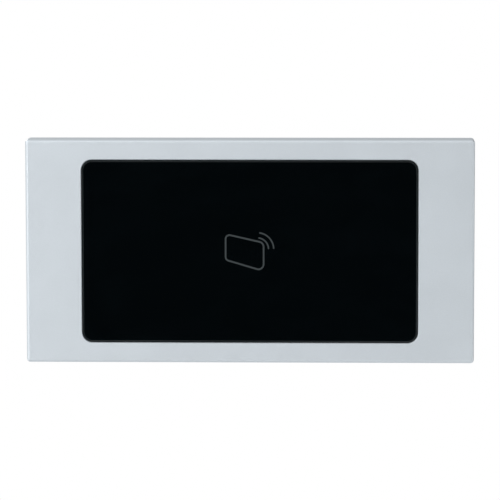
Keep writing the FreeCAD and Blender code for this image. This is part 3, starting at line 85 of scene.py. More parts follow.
class Finish:
    """A material with one Principled shader, and the patterns that feed it, in the object's space."""

    def __init__(self, name, colour, roughness, metallic=0.0, sockets=()):
        self.material = bpy.data.materials.new(name)
        self.material.use_nodes = True
        self.tree = self.material.node_tree
        self.shader = self.tree.nodes["Principled BSDF"]
        plain = {"Base Color": (*colour, 1.0), "Roughness": roughness, "Metallic": metallic}
        for socket, value in {**plain, **dict(sockets)}.items():
            self.shader.inputs[socket].default_value = value
        self.place = self.add("ShaderNodeTexCoord").outputs["Object"]
        self.heights = []
        self.round_normal = None

    def add(self, kind, **settings):
        made = self.tree.nodes.new(kind)
        for key, value in settings.items():
            setattr(made, key, value)
        return made

    def plug(self, socket, value):
        """Links an output to a socket, or sets a plain value on it."""
        if isinstance(value, bpy.types.NodeSocket):
            self.tree.links.new(value, socket)
        else:
            socket.default_value = value

    def math(self, operation, first, second=0.0):
        made = self.add("ShaderNodeMath", operation=operation)
        self.plug(made.inputs[0], first)
        self.plug(made.inputs[1], second)
        return made.outputs[0]

    def vector_math(self, operation, first, second):
        made = self.add("ShaderNodeVectorMath", operation=operation)
        self.plug(made.inputs[0], first)
        self.plug(made.inputs[1], second)
        return made

    def axes(self, vector):
        """The three parts of a vector."""
        made = self.add("ShaderNodeSeparateXYZ")
        self.plug(made.inputs[0], vector)
        return made.outputs

    def place_in(self, texture, stretch):
        """Lays a texture in the object's space, with its place multiplied along each axis."""
        place = self.vector_math("MULTIPLY", self.place, stretch).outputs[0] if stretch else self.place
        self.plug(texture.inputs["Vector"], place)

    def noise(self, size, detail=2.0, stretch=None, distortion=0.0):
        made = self.add("ShaderNodeTexNoise")
        self.place_in(made, stretch)
        made.inputs["Scale"].default_value = 1.0 / size
        made.inputs["Detail"].default_value = detail
        made.inputs["Distortion"].default_value = distortion
        return made.outputs[0]

    def cells(self, size, feature="F1", distance="EUCLIDEAN", stretch=None, randomness=1.0):
        """The distance to the nearest of scattered points, or to the second nearest with F2."""
        made = self.add("ShaderNodeTexVoronoi", feature=feature, distance=distance)
        self.place_in(made, stretch)
        made.inputs["Scale"].default_value = 1.0 / size
        made.inputs["Randomness"].default_value = randomness
        return made.outputs["Distance"]

    def stripes(self, size, direction, distortion=0.0):
        """Soft stripes, one every size along an axis."""
        made = self.add("ShaderNodeTexWave", bands_direction=direction)
        self.place_in(made, None)
        made.inputs["Scale"].default_value = math.pi / 10 / size
        made.inputs["Distortion"].default_value = distortion
        return made.outputs["Fac"]

    def span(self, value, low, high, to_low=0.0, to_high=1.0):
        """Value from low to high brought to between to_low and to_high, with soft ends."""
        made = self.add("ShaderNodeMapRange", interpolation_type="SMOOTHSTEP")
        for socket, number in zip(made.inputs, (value, low, high, to_low, to_high)):
            self.plug(socket, number)
        return made.outputs[0]

    def spread(self, pattern, to_low=0.0, to_high=1.0):
        """A noise's usual values brought to between to_low and to_high."""
        return self.span(pattern, NOISE_LOW, NOISE_HIGH, to_low, to_high)

    def blend(self, share, first, second):
        """Between two colours, by a share."""
        made = self.add("ShaderNodeMix", data_type="RGBA")
        self.plug(made.inputs["Factor"], share)
        for index, colour in zip(MIX_COLOURS, (first, second)):
            linked = isinstance(colour, bpy.types.NodeSocket)
            self.plug(made.inputs[index], colour if linked else (*colour, 1.0))
        return made.outputs[MIX_COLOUR_OUT]

    def mottled(self, pattern, base, first, second):
        """A colour that a noise takes from one shade of it to another."""
        return self.blend(self.spread(pattern), shade(base, first), shade(base, second))

    def over(self, tone, where, strength, colour):
        """A tone with another colour laid over it where a pattern is, at a strength."""
        return self.blend(self.math("MULTIPLY", where, strength), tone, colour)

    def edges(self, radius):
        """0 on flat faces and 1 on the outside of an edge, and hollow corners too."""
        rounded = self.add("ShaderNodeBevel", samples=6)
        rounded.inputs["Radius"].default_value = radius
        flat = self.add("ShaderNodeNewGeometry").outputs["True Normal"]
        self.round_normal = rounded.outputs[0]
        aligned = self.vector_math("DOT_PRODUCT", rounded.outputs[0], flat).outputs["Value"]
        return self.span(aligned, 0.99, 0.86)

    def worn_edges(self, radius, patch, low=NOISE_LOW):
        """Edges, only where patches of wear are."""
        return self.math("MULTIPLY", self.edges(radius), self.span(self.noise(patch, 4.0), low, 0.7))

    def hollows(self, reach):
        """1 in a hollow and 0 in the open."""
        made = self.add("ShaderNodeAmbientOcclusion", samples=4)
        made.inputs["Distance"].default_value = reach
        return self.span(made.outputs["AO"], 0.75, 0.25)

    def facing(self):
        """The three parts of the surface's own direction."""
        return self.axes(self.add("ShaderNodeNewGeometry").outputs["True Normal"])

    def raised(self, height, depth):
        """Adds a relief: height from 0 to 1, times a depth."""
        self.heights.append(self.math("MULTIPLY", height, depth))

    def finish(self, colour=None, roughness=None, metallic=None):
        """Links what feeds the shader, with the reliefs over the rounded edges."""
        fed = {"Base Color": colour, "Roughness": roughness, "Metallic": metallic}
        for socket, value in fed.items():
            if value is not None:
                self.plug(self.shader.inputs[socket], value)
        normal = self.round_normal
        if self.heights:
            total = self.heights[0]
            for height in self.heights[1:]:
                total = self.math("ADD", total, height)
            bump = self.add("ShaderNodeBump")
            bump.inputs["Distance"].default_value = 1.0
            self.plug(bump.inputs["Height"], total)
            if normal:
                self.plug(bump.inputs["Normal"], normal)
            normal = bump.outputs[0]
        if normal:
            self.plug(self.shader.inputs["Normal"], normal)
        return self.material


def shade(colour, factor):
    return tuple(min(1.0, part * factor) for part in colour)


def anodised_aluminium():
    """Bead-blasted, anodised: a fine dimpled grain, faint clouds in the tone and polished edges."""
    base = (0.655, 0.706, 0.748)
    f = Finish("anodised_aluminium", base, 0.46, 1.0)
    grain = f.cells(0.22 * MM)
    fine = f.noise(0.09 * MM, 3.0)
    clouds = f.noise(14 * MM, 3.0, distortion=0.4)
    rubbed = f.worn_edges(0.12 * MM, 1.6 * MM, 0.35)
    tone = f.mottled(clouds, base, 0.99, 1.01)
    tone = f.blend(f.span(fine, 0.25, 0.75), f.blend(0.6, tone, shade(base, 0.9)), tone)
    tone = f.blend(f.span(grain, 0.35, 0.05), tone, f.blend(0.5, tone, shade(base, 1.12)))
    tone = f.over(tone, rubbed, 0.15, (0.76, 0.79, 0.81))
    rough = f.math("SUBTRACT", f.spread(clouds, 0.45, 0.47), f.math("MULTIPLY", rubbed, 0.03))
    f.raised(f.span(grain, 0.0, 0.8), 0.008 * MM)
    f.raised(fine, 0.005 * MM)
    return f.finish(tone, rough)


def black_window():
    """Gloss black pane: very slight orange peel, a faint wiped haze and a greener cut edge."""
    base = (0.0009, 0.0018, 0.0023)
    f = Finish("black_window", base, 0.04, 0.0, {"IOR": 1.5, "Specular IOR Level": 0.36})
    haze = f.noise(16 * MM, 4.0, (1.0, 1.0, 2.4), distortion=0.8)
    specks = f.span(f.cells(2.3 * MM), 0.03, 0.0)
    _, toward, _ = f.facing()
    cut = f.span(toward, -0.9, -0.5)
    tone = f.blend(f.span(haze, 0.35, 0.75), base, (0.0012, 0.0023, 0.0029))
    tone = f.over(tone, specks, 0.5, (0.012, 0.014, 0.015))
    tone = f.over(tone, cut, 0.8, (0.004, 0.010, 0.0095))
    rough = f.math("ADD", f.span(haze, 0.3, 0.8, 0.025, 0.07), f.math("MULTIPLY", cut, 0.18))
    f.raised(f.noise(5 * MM, 1.0), 0.0012 * MM)
    return f.finish(tone, rough)


def printed_ink():
    """Screen-printed grey ink, a little uneven, with the mesh's grain."""
    base = (0.0178, 0.0268, 0.0300)
    f = Finish("symbol_ink", base, 0.42)
    grain = f.noise(0.12 * MM, 3.0)
    dots = f.cells(0.09 * MM, randomness=0.25)
    tone = f.mottled(grain, base, 0.82, 1.15)
    f.raised(dots, 0.004 * MM)
    return f.finish(tone, f.spread(grain, 0.38, 0.5))


def textured_black():
    """Moulded black housing plastic with a spark-eroded texture, dusty hollows and polished edges."""
    base = (0.021, 0.022, 0.024)
    f = Finish("black_abs", base, 0.52)
    texture = f.noise(0.28 * MM, 4.0)
    pits = f.cells(0.4 * MM)
    clouds = f.noise(11 * MM, 3.0)
    rubbed = f.worn_edges(0.25 * MM, 2.2 * MM)
    tone = f.mottled(clouds, base, 0.88, 1.15)
    tone = f.blend(f.span(texture, 0.35, 0.7), f.blend(0.6, tone, (0.009, 0.009, 0.010)), tone)
    tone = f.over(tone, rubbed, 0.55, (0.055, 0.057, 0.06))
    tone = f.over(tone, f.hollows(1.5 * MM), 0.25, (0.05, 0.048, 0.044))
    rough = f.math("SUBTRACT", f.spread(texture, 0.48, 0.6), f.math("MULTIPLY", rubbed, 0.18))
    f.raised(texture, 0.05 * MM)
    f.raised(f.span(pits, 0.0, 0.7), 0.018 * MM)
    return f.finish(tone, rough)


def moulded(name, base, roughness, grain=0.006, clouds=0.06, sockets=(), dust=0.0):
    """A moulded plastic: slight flow clouds, a soft fine grain and a painted highlight along every
    edge.
    """
    f = Finish(name, base, roughness, 0.0, sockets)
    flow = f.noise(5 * MM, 3.0, (1.0, 1.0, 0.4), distortion=0.7)
    fine = f.noise(0.14 * MM, 3.0)
    rim = f.edges(0.15 * MM)
    tone = f.mottled(flow, base, 1 - clouds, 1 + clouds)
    # painted highlight: every edge is lightened in the colour
    tone = f.over(tone, rim, 0.3, shade(base, 1.35))
    if dust:
        settled = f.math("MULTIPLY", f.span(f.noise(0.5 * MM, 5.0), 0.56, 0.7), dust)
        tone = f.blend(settled, tone, (0.3, 0.29, 0.27))
    f.raised(fine, grain * MM)
    return f.finish(tone, f.spread(fine, roughness - 0.04, roughness + 0.05))


def foam(name, base, size):
    """Closed-cell foam: small bubbles cut open, with painted shade inside them and a painted highlight
    on the walls between, matt all over.
    """
    f = Finish(name, base, 0.92, 0.0, {"Specular IOR Level": 0.25})
    bubbles = f.cells(size)
    mottle = f.noise(2.5 * MM, 3.0)
    # painted shade and highlight: each cut bubble is darker towards its middle and lighter on the walls
    # between
    tone = f.blend(f.span(bubbles, 0.1, 0.6), shade(base, 0.5), shade(base, 1.5))
    tone = f.over(tone, f.span(mottle, 0.4, 0.7), 0.5, shade(base, 1.25))
    f.raised(f.span(bubbles, 0.0, 0.6), 0.03 * MM)
    return f.finish(tone)


def silicone():
    """Moulded silicone: matt, with a soft sheen and lint that clings to it."""
    base = (0.034, 0.034, 0.036)
    f = Finish("silicone", base, 0.62, 0.0, {"Sheen Weight": 0.25, "Sheen Roughness": 0.4})
    fine = f.noise(0.2 * MM, 4.0)
    lint = f.span(f.cells(1.3 * MM, stretch=(1.0, 1.0, 0.35)), 0.05, 0.02)
    tone = f.mottled(f.noise(3 * MM, 3.0), base, 0.85, 1.2)
    tone = f.over(tone, lint, 0.6, (0.2, 0.2, 0.19))
    f.raised(fine, 0.012 * MM)
    return f.finish(tone, f.spread(fine, 0.56, 0.7))


def circuit_board():
    """Green solder mask over copper: pours, tracks and gaps show through it, with tinned vias whose
    holes are painted shade.

    The cut edges show the core of glass cloth.
    """
    mask, over_copper, gap = (0.006, 0.085, 0.03), (0.012, 0.15, 0.052), (0.003, 0.045, 0.018)
    core_dark, core_light = (0.22, 0.24, 0.10), (0.34, 0.35, 0.17)
    f = Finish("circuit_board", mask, 0.32, 0.0, {"Coat Weight": 0.35, "Coat Roughness": 0.15})
    flat = (1.0, 0.0, 1.0)
    nearest = f.cells(5.2 * MM, "F1", "CHEBYCHEV", flat, 0.85)
    second = f.cells(5.2 * MM, "F2", "CHEBYCHEV", flat, 0.85)
    pour_gap = f.span(f.math("SUBTRACT", second, nearest), 0.07, 0.045)
    lines = f.span(f.stripes(0.62 * MM, "Z"), 0.62, 0.72)
    risers = f.span(f.stripes(0.7 * MM, "X"), 0.62, 0.72)
    patches = f.noise(7 * MM, 1.0, flat)
    tracks = f.math("MULTIPLY", lines, f.span(patches, 0.53, 0.55))
    tracks = f.math("MAXIMUM", tracks, f.math("MULTIPLY", risers, f.span(patches, 0.42, 0.40)))
    weave = f.math("MULTIPLY", f.stripes(0.3 * MM, "X", 0.6), f.stripes(0.3 * MM, "Z", 0.6))
    via = f.cells(3.4 * MM, stretch=flat)
    ring, hole_shade = f.span(via, 0.085, 0.075), f.span(via, 0.04, 0.03)
    tone = f.mottled(f.noise(9 * MM, 2.0), mask, 1.0, 1.25)
    tone = f.over(tone, tracks, 0.8, over_copper)
    tone = f.over(tone, pour_gap, 0.8, gap)
    tone = f.over(tone, weave, 0.10, (0.05, 0.2, 0.09))
    tone = f.blend(ring, tone, (0.55, 0.53, 0.46))
    # painted shade: each via's open hole is a dark dot in the colour
    tone = f.blend(hole_shade, tone, (0.01, 0.012, 0.01))
    _, face, _ = f.facing()
    side = f.span(f.math("ABSOLUTE", face), 0.6, 0.4)
    core = f.blend(f.spread(f.stripes(0.18 * MM, "Y", 1.5)), core_dark, core_light)
    tone = f.blend(side, tone, core)
    f.raised(f.math("MAXIMUM", tracks, ring), 0.02 * MM)
    f.raised(weave, 0.003 * MM)
    rough = f.math("ADD", f.span(side, 0.0, 1.0, 0.3, 0.75), f.math("MULTIPLY", weave, 0.05))
    return f.finish(tone, rough)


def copper_tracks():
    """Copper under a thin green mask, with a painted highlight along its edges and slight oxidation."""
    base = (0.30, 0.32, 0.10)
    f = Finish("copper_track", base, 0.34, 0.75, {"Coat Weight": 0.5, "Coat Roughness": 0.12})
    stain = f.noise(4 * MM, 4.0, distortion=0.6)
    fine = f.noise(0.12 * MM, 3.0)
    tone = f.blend(f.spread(stain), (0.36, 0.24, 0.09), (0.22, 0.34, 0.12))
    # painted highlight: the edges are lightened in the colour
    tone = f.over(tone, f.edges(0.04 * MM), 0.5, (0.6, 0.36, 0.2))
    f.raised(fine, 0.003 * MM)
    return f.finish(tone, f.spread(fine, 0.28, 0.42))


def ferrite():
    """Sintered ferrite: dark grey-brown, matt, with pale grains, a fine pitted skin and a painted
    highlight on its edges.
    """
    base = (0.030, 0.028, 0.027)
    f = Finish("ferrite", base, 0.66)
    grains = f.cells(0.35 * MM)
    pits = f.noise(0.3 * MM, 5.0)
    tone = f.mottled(f.noise(6 * MM, 3.0), base, 0.8, 1.3)
    tone = f.blend(f.span(grains, 0.12, 0.05), tone, (0.10, 0.095, 0.09))
    # painted highlight: the edges are lightened in the colour
    tone = f.over(tone, f.edges(0.12 * MM), 0.4, shade(base, 2.2))
    f.raised(pits, 0.014 * MM)
    return f.finish(tone, f.spread(pits, 0.55, 0.75))


def plated_steel():
    """Zinc-plated steel: bright bluish, with turning marks, a painted highlight on the edges and
    painted shade in the hollows.
    """
    base = (0.56, 0.585, 0.61)
    f = Finish("plated_steel", base, 0.3, 1.0)
    turned = f.noise(0.1 * MM, 3.0, (0.25, 3.0, 0.25))
    bloom = f.noise(1.3 * MM, 4.0)
    tone = f.mottled(bloom, base, 0.86, 1.08)
    # painted highlight: the edges are lightened in the colour
    tone = f.over(tone, f.edges(0.08 * MM), 0.6, (0.82, 0.83, 0.84))
    # painted shade: the hollows, found by ambient occlusion, are darkened in the colour
    tone = f.over(tone, f.hollows(0.9 * MM), 0.6, (0.22, 0.22, 0.22))
    f.raised(turned, 0.006 * MM)
    f.raised(f.noise(0.2 * MM, 3.0), 0.003 * MM)
    return f.finish(tone, f.spread(bloom, 0.24, 0.38))


def tinned():
    """Dipped tin on pins and leads: bright, softly rippled, duller in patches."""
    base = (0.66, 0.665, 0.66)
    f = Finish("tinned", base, 0.22, 1.0)
    ripple = f.noise(0.5 * MM, 2.0)
    dull = f.noise(1.1 * MM, 4.0)
    tone = f.blend(f.span(dull, 0.35, 0.7), shade(base, 1.1), shade(base, 0.8))
    f.edges(0.05 * MM)
    f.raised(ripple, 0.01 * MM)
    return f.finish(tone, f.span(dull, 0.35, 0.7, 0.16, 0.36))


def moulding_resin():
    """Chip package resin: matt charcoal with a sandy release texture and a painted highlight on its
    edges.
    """
    base = (0.020, 0.020, 0.021)
    f = Finish("chip_resin", base, 0.6)
    sand = f.noise(0.08 * MM, 4.0)
    tone = f.blend(f.span(sand, 0.35, 0.65), shade(base, 0.75), shade(base, 1.3))
    # painted highlight: the edges are lightened in the colour
    tone = f.over(tone, f.edges(0.1 * MM), 0.45, (0.07, 0.07, 0.072))
    f.raised(sand, 0.008 * MM)
    return f.finish(tone, f.span(sand, 0.35, 0.65, 0.54, 0.68))


def ceramic(name, base, roughness):
    """The body of a small chip part: speckled ceramic with a painted highlight on its edges."""
    f = Finish(name, base, roughness)
    speckle = f.noise(0.06 * MM, 4.0)
    tone = f.blend(f.span(speckle, 0.35, 0.65), shade(base, 0.8), shade(base, 1.2))
    # painted highlight: the edges are lightened in the colour
    tone = f.over(tone, f.edges(0.05 * MM), 0.5, shade(base, 1.8))
    f.raised(speckle, 0.004 * MM)
    return f.finish(tone, f.spread(speckle, roughness - 0.05, roughness + 0.08))


def drawn_can():
    """Drawn aluminium can: fine lines up its side, and a dark half on its end for the negative side."""
    base = (0.72, 0.73, 0.74)
    low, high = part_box("capacitor_cans")
    mark_start = (low.z + high.z) / 2 + 1.0 * MM
    f = Finish("capacitor_can", base, 0.28, 1.0)
    lines = f.noise(0.07 * MM, 3.0, (1.0, 0.12, 1.0))
    _, toward, _ = f.facing()
    _, _, up = f.axes(f.place)
    end = f.span(toward, -0.9, -0.97)
    mark = f.math("MULTIPLY", end, f.span(up, mark_start, mark_start + 0.05 * MM))
    tone = f.mottled(lines, base, 0.88, 1.06)
    tone = f.blend(mark, tone, (0.02, 0.02, 0.03))
    f.raised(lines, 0.004 * MM)
    f.edges(0.1 * MM)
    return f.finish(tone, f.spread(lines, 0.22, 0.34), f.math("SUBTRACT", 1.0, mark))


def silver_label():
    """Blank silver label film: brushed along its length, with one thin printed border line."""
    base = (0.60, 0.61, 0.62)
    border_inset = 0.9 * MM
    low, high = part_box("rating_label")
    centre, half = (low + high) / 2, (high - low) / 2
    f = Finish("label_film", base, 0.34, 0.8)
    brushed = f.noise(0.12 * MM, 3.0, (0.05, 1.0, 1.0))
    across, _, up = f.axes(f.place)
    from_side = f.math("SUBTRACT", half.x, f.math("ABSOLUTE", f.math("SUBTRACT", across, centre.x)))
    from_end = f.math("SUBTRACT", half.z, f.math("ABSOLUTE", f.math("SUBTRACT", up, centre.z)))
    inset = f.math("MINIMUM", from_side, from_end)
    off_line = f.math("ABSOLUTE", f.math("SUBTRACT", inset, border_inset))
    line = f.span(off_line, 0.11 * MM, 0.08 * MM)
    tone = f.mottled(brushed, base, 0.9, 1.05)
    tone = f.blend(line, tone, (0.05, 0.05, 0.055))
    f.raised(brushed, 0.002 * MM)
    f.raised(f.noise(6 * MM, 1.0), 0.02 * MM)
    return f.finish(tone, f.spread(brushed, 0.28, 0.42))


def phosphor():
    """Domed yellow phosphor in clear resin: fine grains under a glossy skin."""
    base = (0.80, 0.62, 0.14)
    f = Finish("led_lens", base, 0.3, 0.0, {"Coat Weight": 0.8, "Coat Roughness": 0.05})
    grains = f.noise(0.05 * MM, 3.0)
    tone = f.blend(f.spread(grains), shade(base, 0.85), (0.9, 0.75, 0.25))
    f.raised(grains, 0.002 * MM)
    return f.finish(tone)


def sheer(name, base, roughness, depth):
    """A white or natural plastic that light sinks into a little."""
    soft = {
        "Subsurface Weight": 0.25,
        "Subsurface Radius": (1.0, 0.9, 0.7),
        "Subsurface Scale": depth * MM,
    }
    return moulded(name, base, roughness, 0.005, 0.035, soft)


MADE = {
    "anodised_aluminium": anodised_aluminium(),
    "window": black_window(),
    "symbol_ink": printed_ink(),
    "black_abs": textured_black(),
    "black_plastic": moulded("black_plastic", (0.017, 0.017, 0.018), 0.4),
    "grey_plastic": moulded("grey_plastic", (0.17, 0.175, 0.18), 0.42, dust=0.15),
    "switch_blue": moulded("switch_blue", (0.012, 0.045, 0.20), 0.38),
    "white_plastic": sheer("white_plastic", (0.68, 0.68, 0.655), 0.42, 0.5),
    "milky_plastic": sheer("milky_plastic", (0.76, 0.78, 0.77), 0.5, 1.2),
    "natural_nylon": sheer("natural_nylon", (0.64, 0.60, 0.47), 0.45, 0.8),
    "foam": foam("foam", (0.020, 0.020, 0.022), 0.16 * MM),
    "bonding_tape": foam("bonding_tape", (0.012, 0.012, 0.012), 0.09 * MM),
    "silicone": silicone(),
    "label_film": silver_label(),
    "circuit_board": circuit_board(),
    "copper_track": copper_tracks(),
    "ferrite": ferrite(),
    "steel": plated_steel(),
    "tin": tinned(),
    "chip_resin": moulding_resin(),
    "resistor_body": ceramic("resistor_body", (0.012, 0.012, 0.013), 0.25),
    "capacitor_body": ceramic("capacitor_body", (0.30, 0.20, 0.11), 0.5),
    "capacitor_can": drawn_can(),
    "led_lens": phosphor(),
}


# ---------------------------------------------------------------- the CAD nodes' finishes


def smooth_by_angle(mesh, degrees):
    mesh.polygons.foreach_set("use_smooth", [True] * len(mesh.polygons))
    mesh.set_sharp_from_angle(angle=math.radians(degrees))


def paint_nodes():
    """Each CAD node gets the finish of its material slot in the record. Gives the slots by node."""
    slots = {part["node"]: part["material_slot"] for part in frame["record"]["subparts"]}
    for name, node in nodes.items():
        node.data.materials.clear()
        node.data.materials.append(MADE[slots[name]])
    return slots


slot_of = paint_nodes()


# ---------------------------------------------------------------- soft pieces

# Seals: steps round the ring's and the section's corners and along the ring, the size of its waver,
# and the ribs' share of its depth.
RING_CORNER_STEPS = 10
SECTION_CORNER_STEPS = 4
RING_STEP = 1.0 * MM
WAVER_SIZE = 6 * MM
RIB_SHARE = 0.16
RIB_STEPS = 8

# Tamper spring: the wire's radius, the coils, and how many turns in from each end they start to open.
WIRE_RADIUS = 0.15 * MM
SPRING_TURNS = 4.0
STEPS_PER_TURN = 48
WIRE_SIDES = 12
CLOSED_TURNS = 0.65
OPENING_TURNS = 0.3
CLOSED_PITCH = 2.04 * WIRE_RADIUS
WIRE_END_TAPER = 0.12

# Switch plug: its plate and tab, the bead round the plate, and the grip ribs on the tab.
PLUG_TAB_HEIGHT = 2.0 * MM
PLUG_TAB_HALF = 1.0 * MM
PLUG_VOXEL = 0.13 * MM
PLUG_PASSES = 3
PLATE_BAND_BELOW, PLATE_BAND_ABOVE = 0.12 * MM, 0.1 * MM
BEAD_INSET, BEAD_WIDTH, BEAD_HEIGHT = 1.1 * MM, 0.28 * MM, 0.28 * MM
RIBS_START = 0.35 * MM
RIB_PITCH, RIB_HEIGHT, RIB_FADE = 0.42 * MM, 0.09 * MM, 0.3 * MM


def add_piece(name, mesh, body, *stands_for):
    """A new piece with the finish of the CAD nodes it stands for, riding on a body."""
    piece = bpy.data.objects.new(name, mesh)
    bpy.context.scene.collection.objects.link(piece)
    slot = slot_of[stands_for[0]]
    mesh.materials.append(MADE[slot])
    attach(piece, body)
    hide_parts(*stands_for)
    return piece


def mesh_from(name, shape, smooth_degrees):
    """Turns a bmesh into a mesh with its faces outward, and frees it."""
    bmesh.ops.recalc_face_normals(shape, faces=shape.faces)
    mesh = bpy.data.meshes.new(name)
    shape.to_mesh(mesh)
    shape.free()
    smooth_by_angle(mesh, smooth_degrees)
    return mesh


def add_band(shape, this, following):
    """Faces between two closed loops of as many points."""
    for index in range(len(this)):
        after = (index + 1) % len(this)
        shape.faces.new((this[index], this[after], following[after], following[index]))


def rounded_path(half_x, half_z, corner, inset):
    """Points round a rectangle with rounded corners, drawn in by an inset, as many for every inset."""
    sides = ((1, 1), (-1, 1), (-1, -1), (1, -1))
    headings = ((-1, 0), (0, -1), (1, 0), (0, 1))
    centre_x, centre_z = half_x - corner, half_z - corner
    radius = corner - inset
    points = []
    for quarter, (side, heading) in enumerate(zip(sides, headings)):
        for part in range(RING_CORNER_STEPS + 1):
            angle = (quarter + part / RING_CORNER_STEPS) * math.pi / 2
            x = side[0] * centre_x + radius * math.cos(angle)
            z = side[1] * centre_z + radius * math.sin(angle)
            points.append((x, z))
        length = 2 * (centre_x if heading[0] else centre_z)
        runs = max(2, round(length / RING_STEP))
        start = points[-1]
        for run in range(1, runs):
            share = run / runs
            points.append(tuple(start[axis] + heading[axis] * length * share for axis in (0, 1)))
    return points


def ring_mesh(name, half_x, half_z, corner, profile, waver):
    """A closed ring: (inset, y) points swept round a rounded rectangle, a little uneven on the way."""
    shape = bmesh.new()
    loops = []
    for inset, y in profile:
        loop = []
        for x, z in rounded_path(half_x, half_z, corner, inset):
            drift = waver * noise.noise(Vector((x, 0.0, z)) / WAVER_SIZE)
            loop.append(shape.verts.new((x, y + drift, z)))
        loops.append(loop)
    for this, following in zip(loops, loops[1:] + loops[:1]):
        add_band(shape, this, following)
    return mesh_from(name, shape, 50)


def soft_profile(width, low, high, radius, ribs):
    """The section of a moulded seal: rounded corners and, on its rear face, rounded ribs."""
    points = []
    for centre_inset, start in ((radius, 180), (width - radius, 270)):
        for part in range(SECTION_CORNER_STEPS + 1):
            angle = math.radians(start + part * 90 / SECTION_CORNER_STEPS)
            inset = centre_inset + radius * math.cos(angle)
            points.append((inset, low + radius + radius * math.sin(angle)))
    rib_depth = (high - low) * RIB_SHARE if ribs else 0.0
    crown = high - rib_depth
    shoulder = crown - radius * 0.6
    waves = max(ribs, 1)
    points.append((width, shoulder))
    for part in range(1, RIB_STEPS * waves):
        share = part / (RIB_STEPS * waves)
        swell = math.sin(share * math.pi * waves) ** 2
        edge = min(1.0, 6 * min(share, 1 - share))
        points.append((width * (1 - share), crown - radius * 0.25 * (1 - edge) + rib_depth * swell))
    points.append((0.0, shoulder))
    return points


def add_seal(name, node, width, corner, rounding, ribs=0, waver=0.0):
    """A ring of seal or tape round the reader, where its CAD node is."""
    low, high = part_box(node)
    profile = soft_profile(width, low.y, high.y, rounding, ribs)
    mesh = ring_mesh(name, high.x, high.z, corner, profile, waver)
    add_piece(name, mesh, "reader", node)


def spring_openness(turn):
    """0 in the closed coils at the ends and 1 in the open ones between."""
    from_end = min(turn, SPRING_TURNS - turn)
    share = min(max((from_end - CLOSED_TURNS) / OPENING_TURNS, 0.0), 1.0)
    return share * share * (3 - 2 * share)


def tamper_spring():
    """Compression spring of round wire with a closed coil at each end."""
    low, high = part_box("tamper_spring")
    centre = (low + high) / 2
    radius = (high.x - low.x) / 2 - WIRE_RADIUS
    length = high.y - low.y
    count = int(SPRING_TURNS * STEPS_PER_TURN)
    closed = CLOSED_PITCH / STEPS_PER_TURN
    opened = [spring_openness(step / STEPS_PER_TURN) for step in range(count)]
    rise = (length - 2 * WIRE_RADIUS - closed * count) / sum(opened)
    shape = bmesh.new()
    rings, y = [], low.y + WIRE_RADIUS
    for step in range(count + 1):
        angle = 2 * math.pi * step / STEPS_PER_TURN
        outward = Vector((math.cos(angle), 0.0, math.sin(angle)))
        if step:
            y += closed + rise * opened[step - 1]
        middle = Vector((centre.x, y, centre.z)) + outward * radius
        taper = 1.0 - WIRE_END_TAPER * (step in (0, count))
        ring = []
        for side in range(WIRE_SIDES):
            around = 2 * math.pi * side / WIRE_SIDES
            reach = outward * math.cos(around) + Vector((0.0, math.sin(around), 0.0))
            ring.append(shape.verts.new(middle + reach * WIRE_RADIUS * taper))
        rings.append(ring)
    for this, following in zip(rings, rings[1:]):
        add_band(shape, this, following)
    shape.faces.new(rings[0])
    shape.faces.new(rings[-1][::-1])
    mesh = mesh_from("tamper_spring_wire", shape, 40)
    piece = add_piece("tamper_spring_wire", mesh, "reader", "tamper_spring")
    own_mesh(piece)


def softened_mesh(name, node, voxel, passes):
    """A CAD node's closed surface, remeshed finely and relaxed so that every edge is round."""
    source = bpy.data.objects.new(name, nodes[node].data.copy())
    bpy.context.scene.collection.objects.link(source)
    source.data.materials.clear()
    weld = source.modifiers.new("weld", "WELD")
    weld.merge_threshold = 0.001 * MM
    remesh = source.modifiers.new("remesh", "REMESH")
    remesh.mode, remesh.voxel_size = "VOXEL", voxel
    relax = source.modifiers.new("relax", "SMOOTH")
    relax.factor, relax.iterations = 0.5, passes
    bpy.context.view_layer.update()
    graph = bpy.context.evaluated_depsgraph_get()
    mesh = bpy.data.meshes.new_from_object(source.evaluated_get(graph))
    mesh.name = name
    bpy.data.objects.remove(source)
    smooth_by_angle(mesh, 180)
    return mesh


def switch_plug():
    """Moulded silicone plug: every edge soft, a bead round the plate and grip ribs on the pull tab."""
    low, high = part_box("address_switch_plug")
    centre = (low + high) / 2
    plate = high.y - PLUG_TAB_HEIGHT
    mesh = softened_mesh("switch_plug_silicone", "address_switch_plug", PLUG_VOXEL, PLUG_PASSES)
    for vertex in mesh.vertices:
        place = vertex.co
        from_side = high.x - abs(place.x - centre.x) - centre.x
        from_end = high.z - centre.z - abs(place.z - centre.z)
        if plate - PLATE_BAND_BELOW < place.y < plate + PLATE_BAND_ABOVE:
            off_bead = (min(from_side, from_end) - BEAD_INSET) / BEAD_WIDTH
            place.y += BEAD_HEIGHT * math.exp(-(off_bead**2))
        elif place.y > plate + RIBS_START and abs(place.z - centre.z) < PLUG_TAB_HALF:
            rib = 0.5 + 0.5 * math.cos((place.y - plate) / RIB_PITCH * 2 * math.pi)
            fade = min(1.0, (high.y - place.y) / RIB_FADE)
            place.z += math.copysign(RIB_HEIGHT * rib, place.z - centre.z) * fade
    add_piece("switch_plug_silicone", mesh, "address_switch_plug", "address_switch_plug")


add_seal("frame_seal_foam", "frame_seal", 1.2 * MM, 2.1 * MM, 0.22 * MM, ribs=2, waver=0.02 * MM)
add_seal("housing_gasket_ring", "housing_gasket", 1.3 * MM, 3.6 * MM, 0.18 * MM)
add_seal("window_tape_foam", "window_tape", 2.2 * MM, 2.08 * MM, 0.06 * MM)
tamper_spring()
switch_plug()


# ---------------------------------------------------------------- camera, light and floor

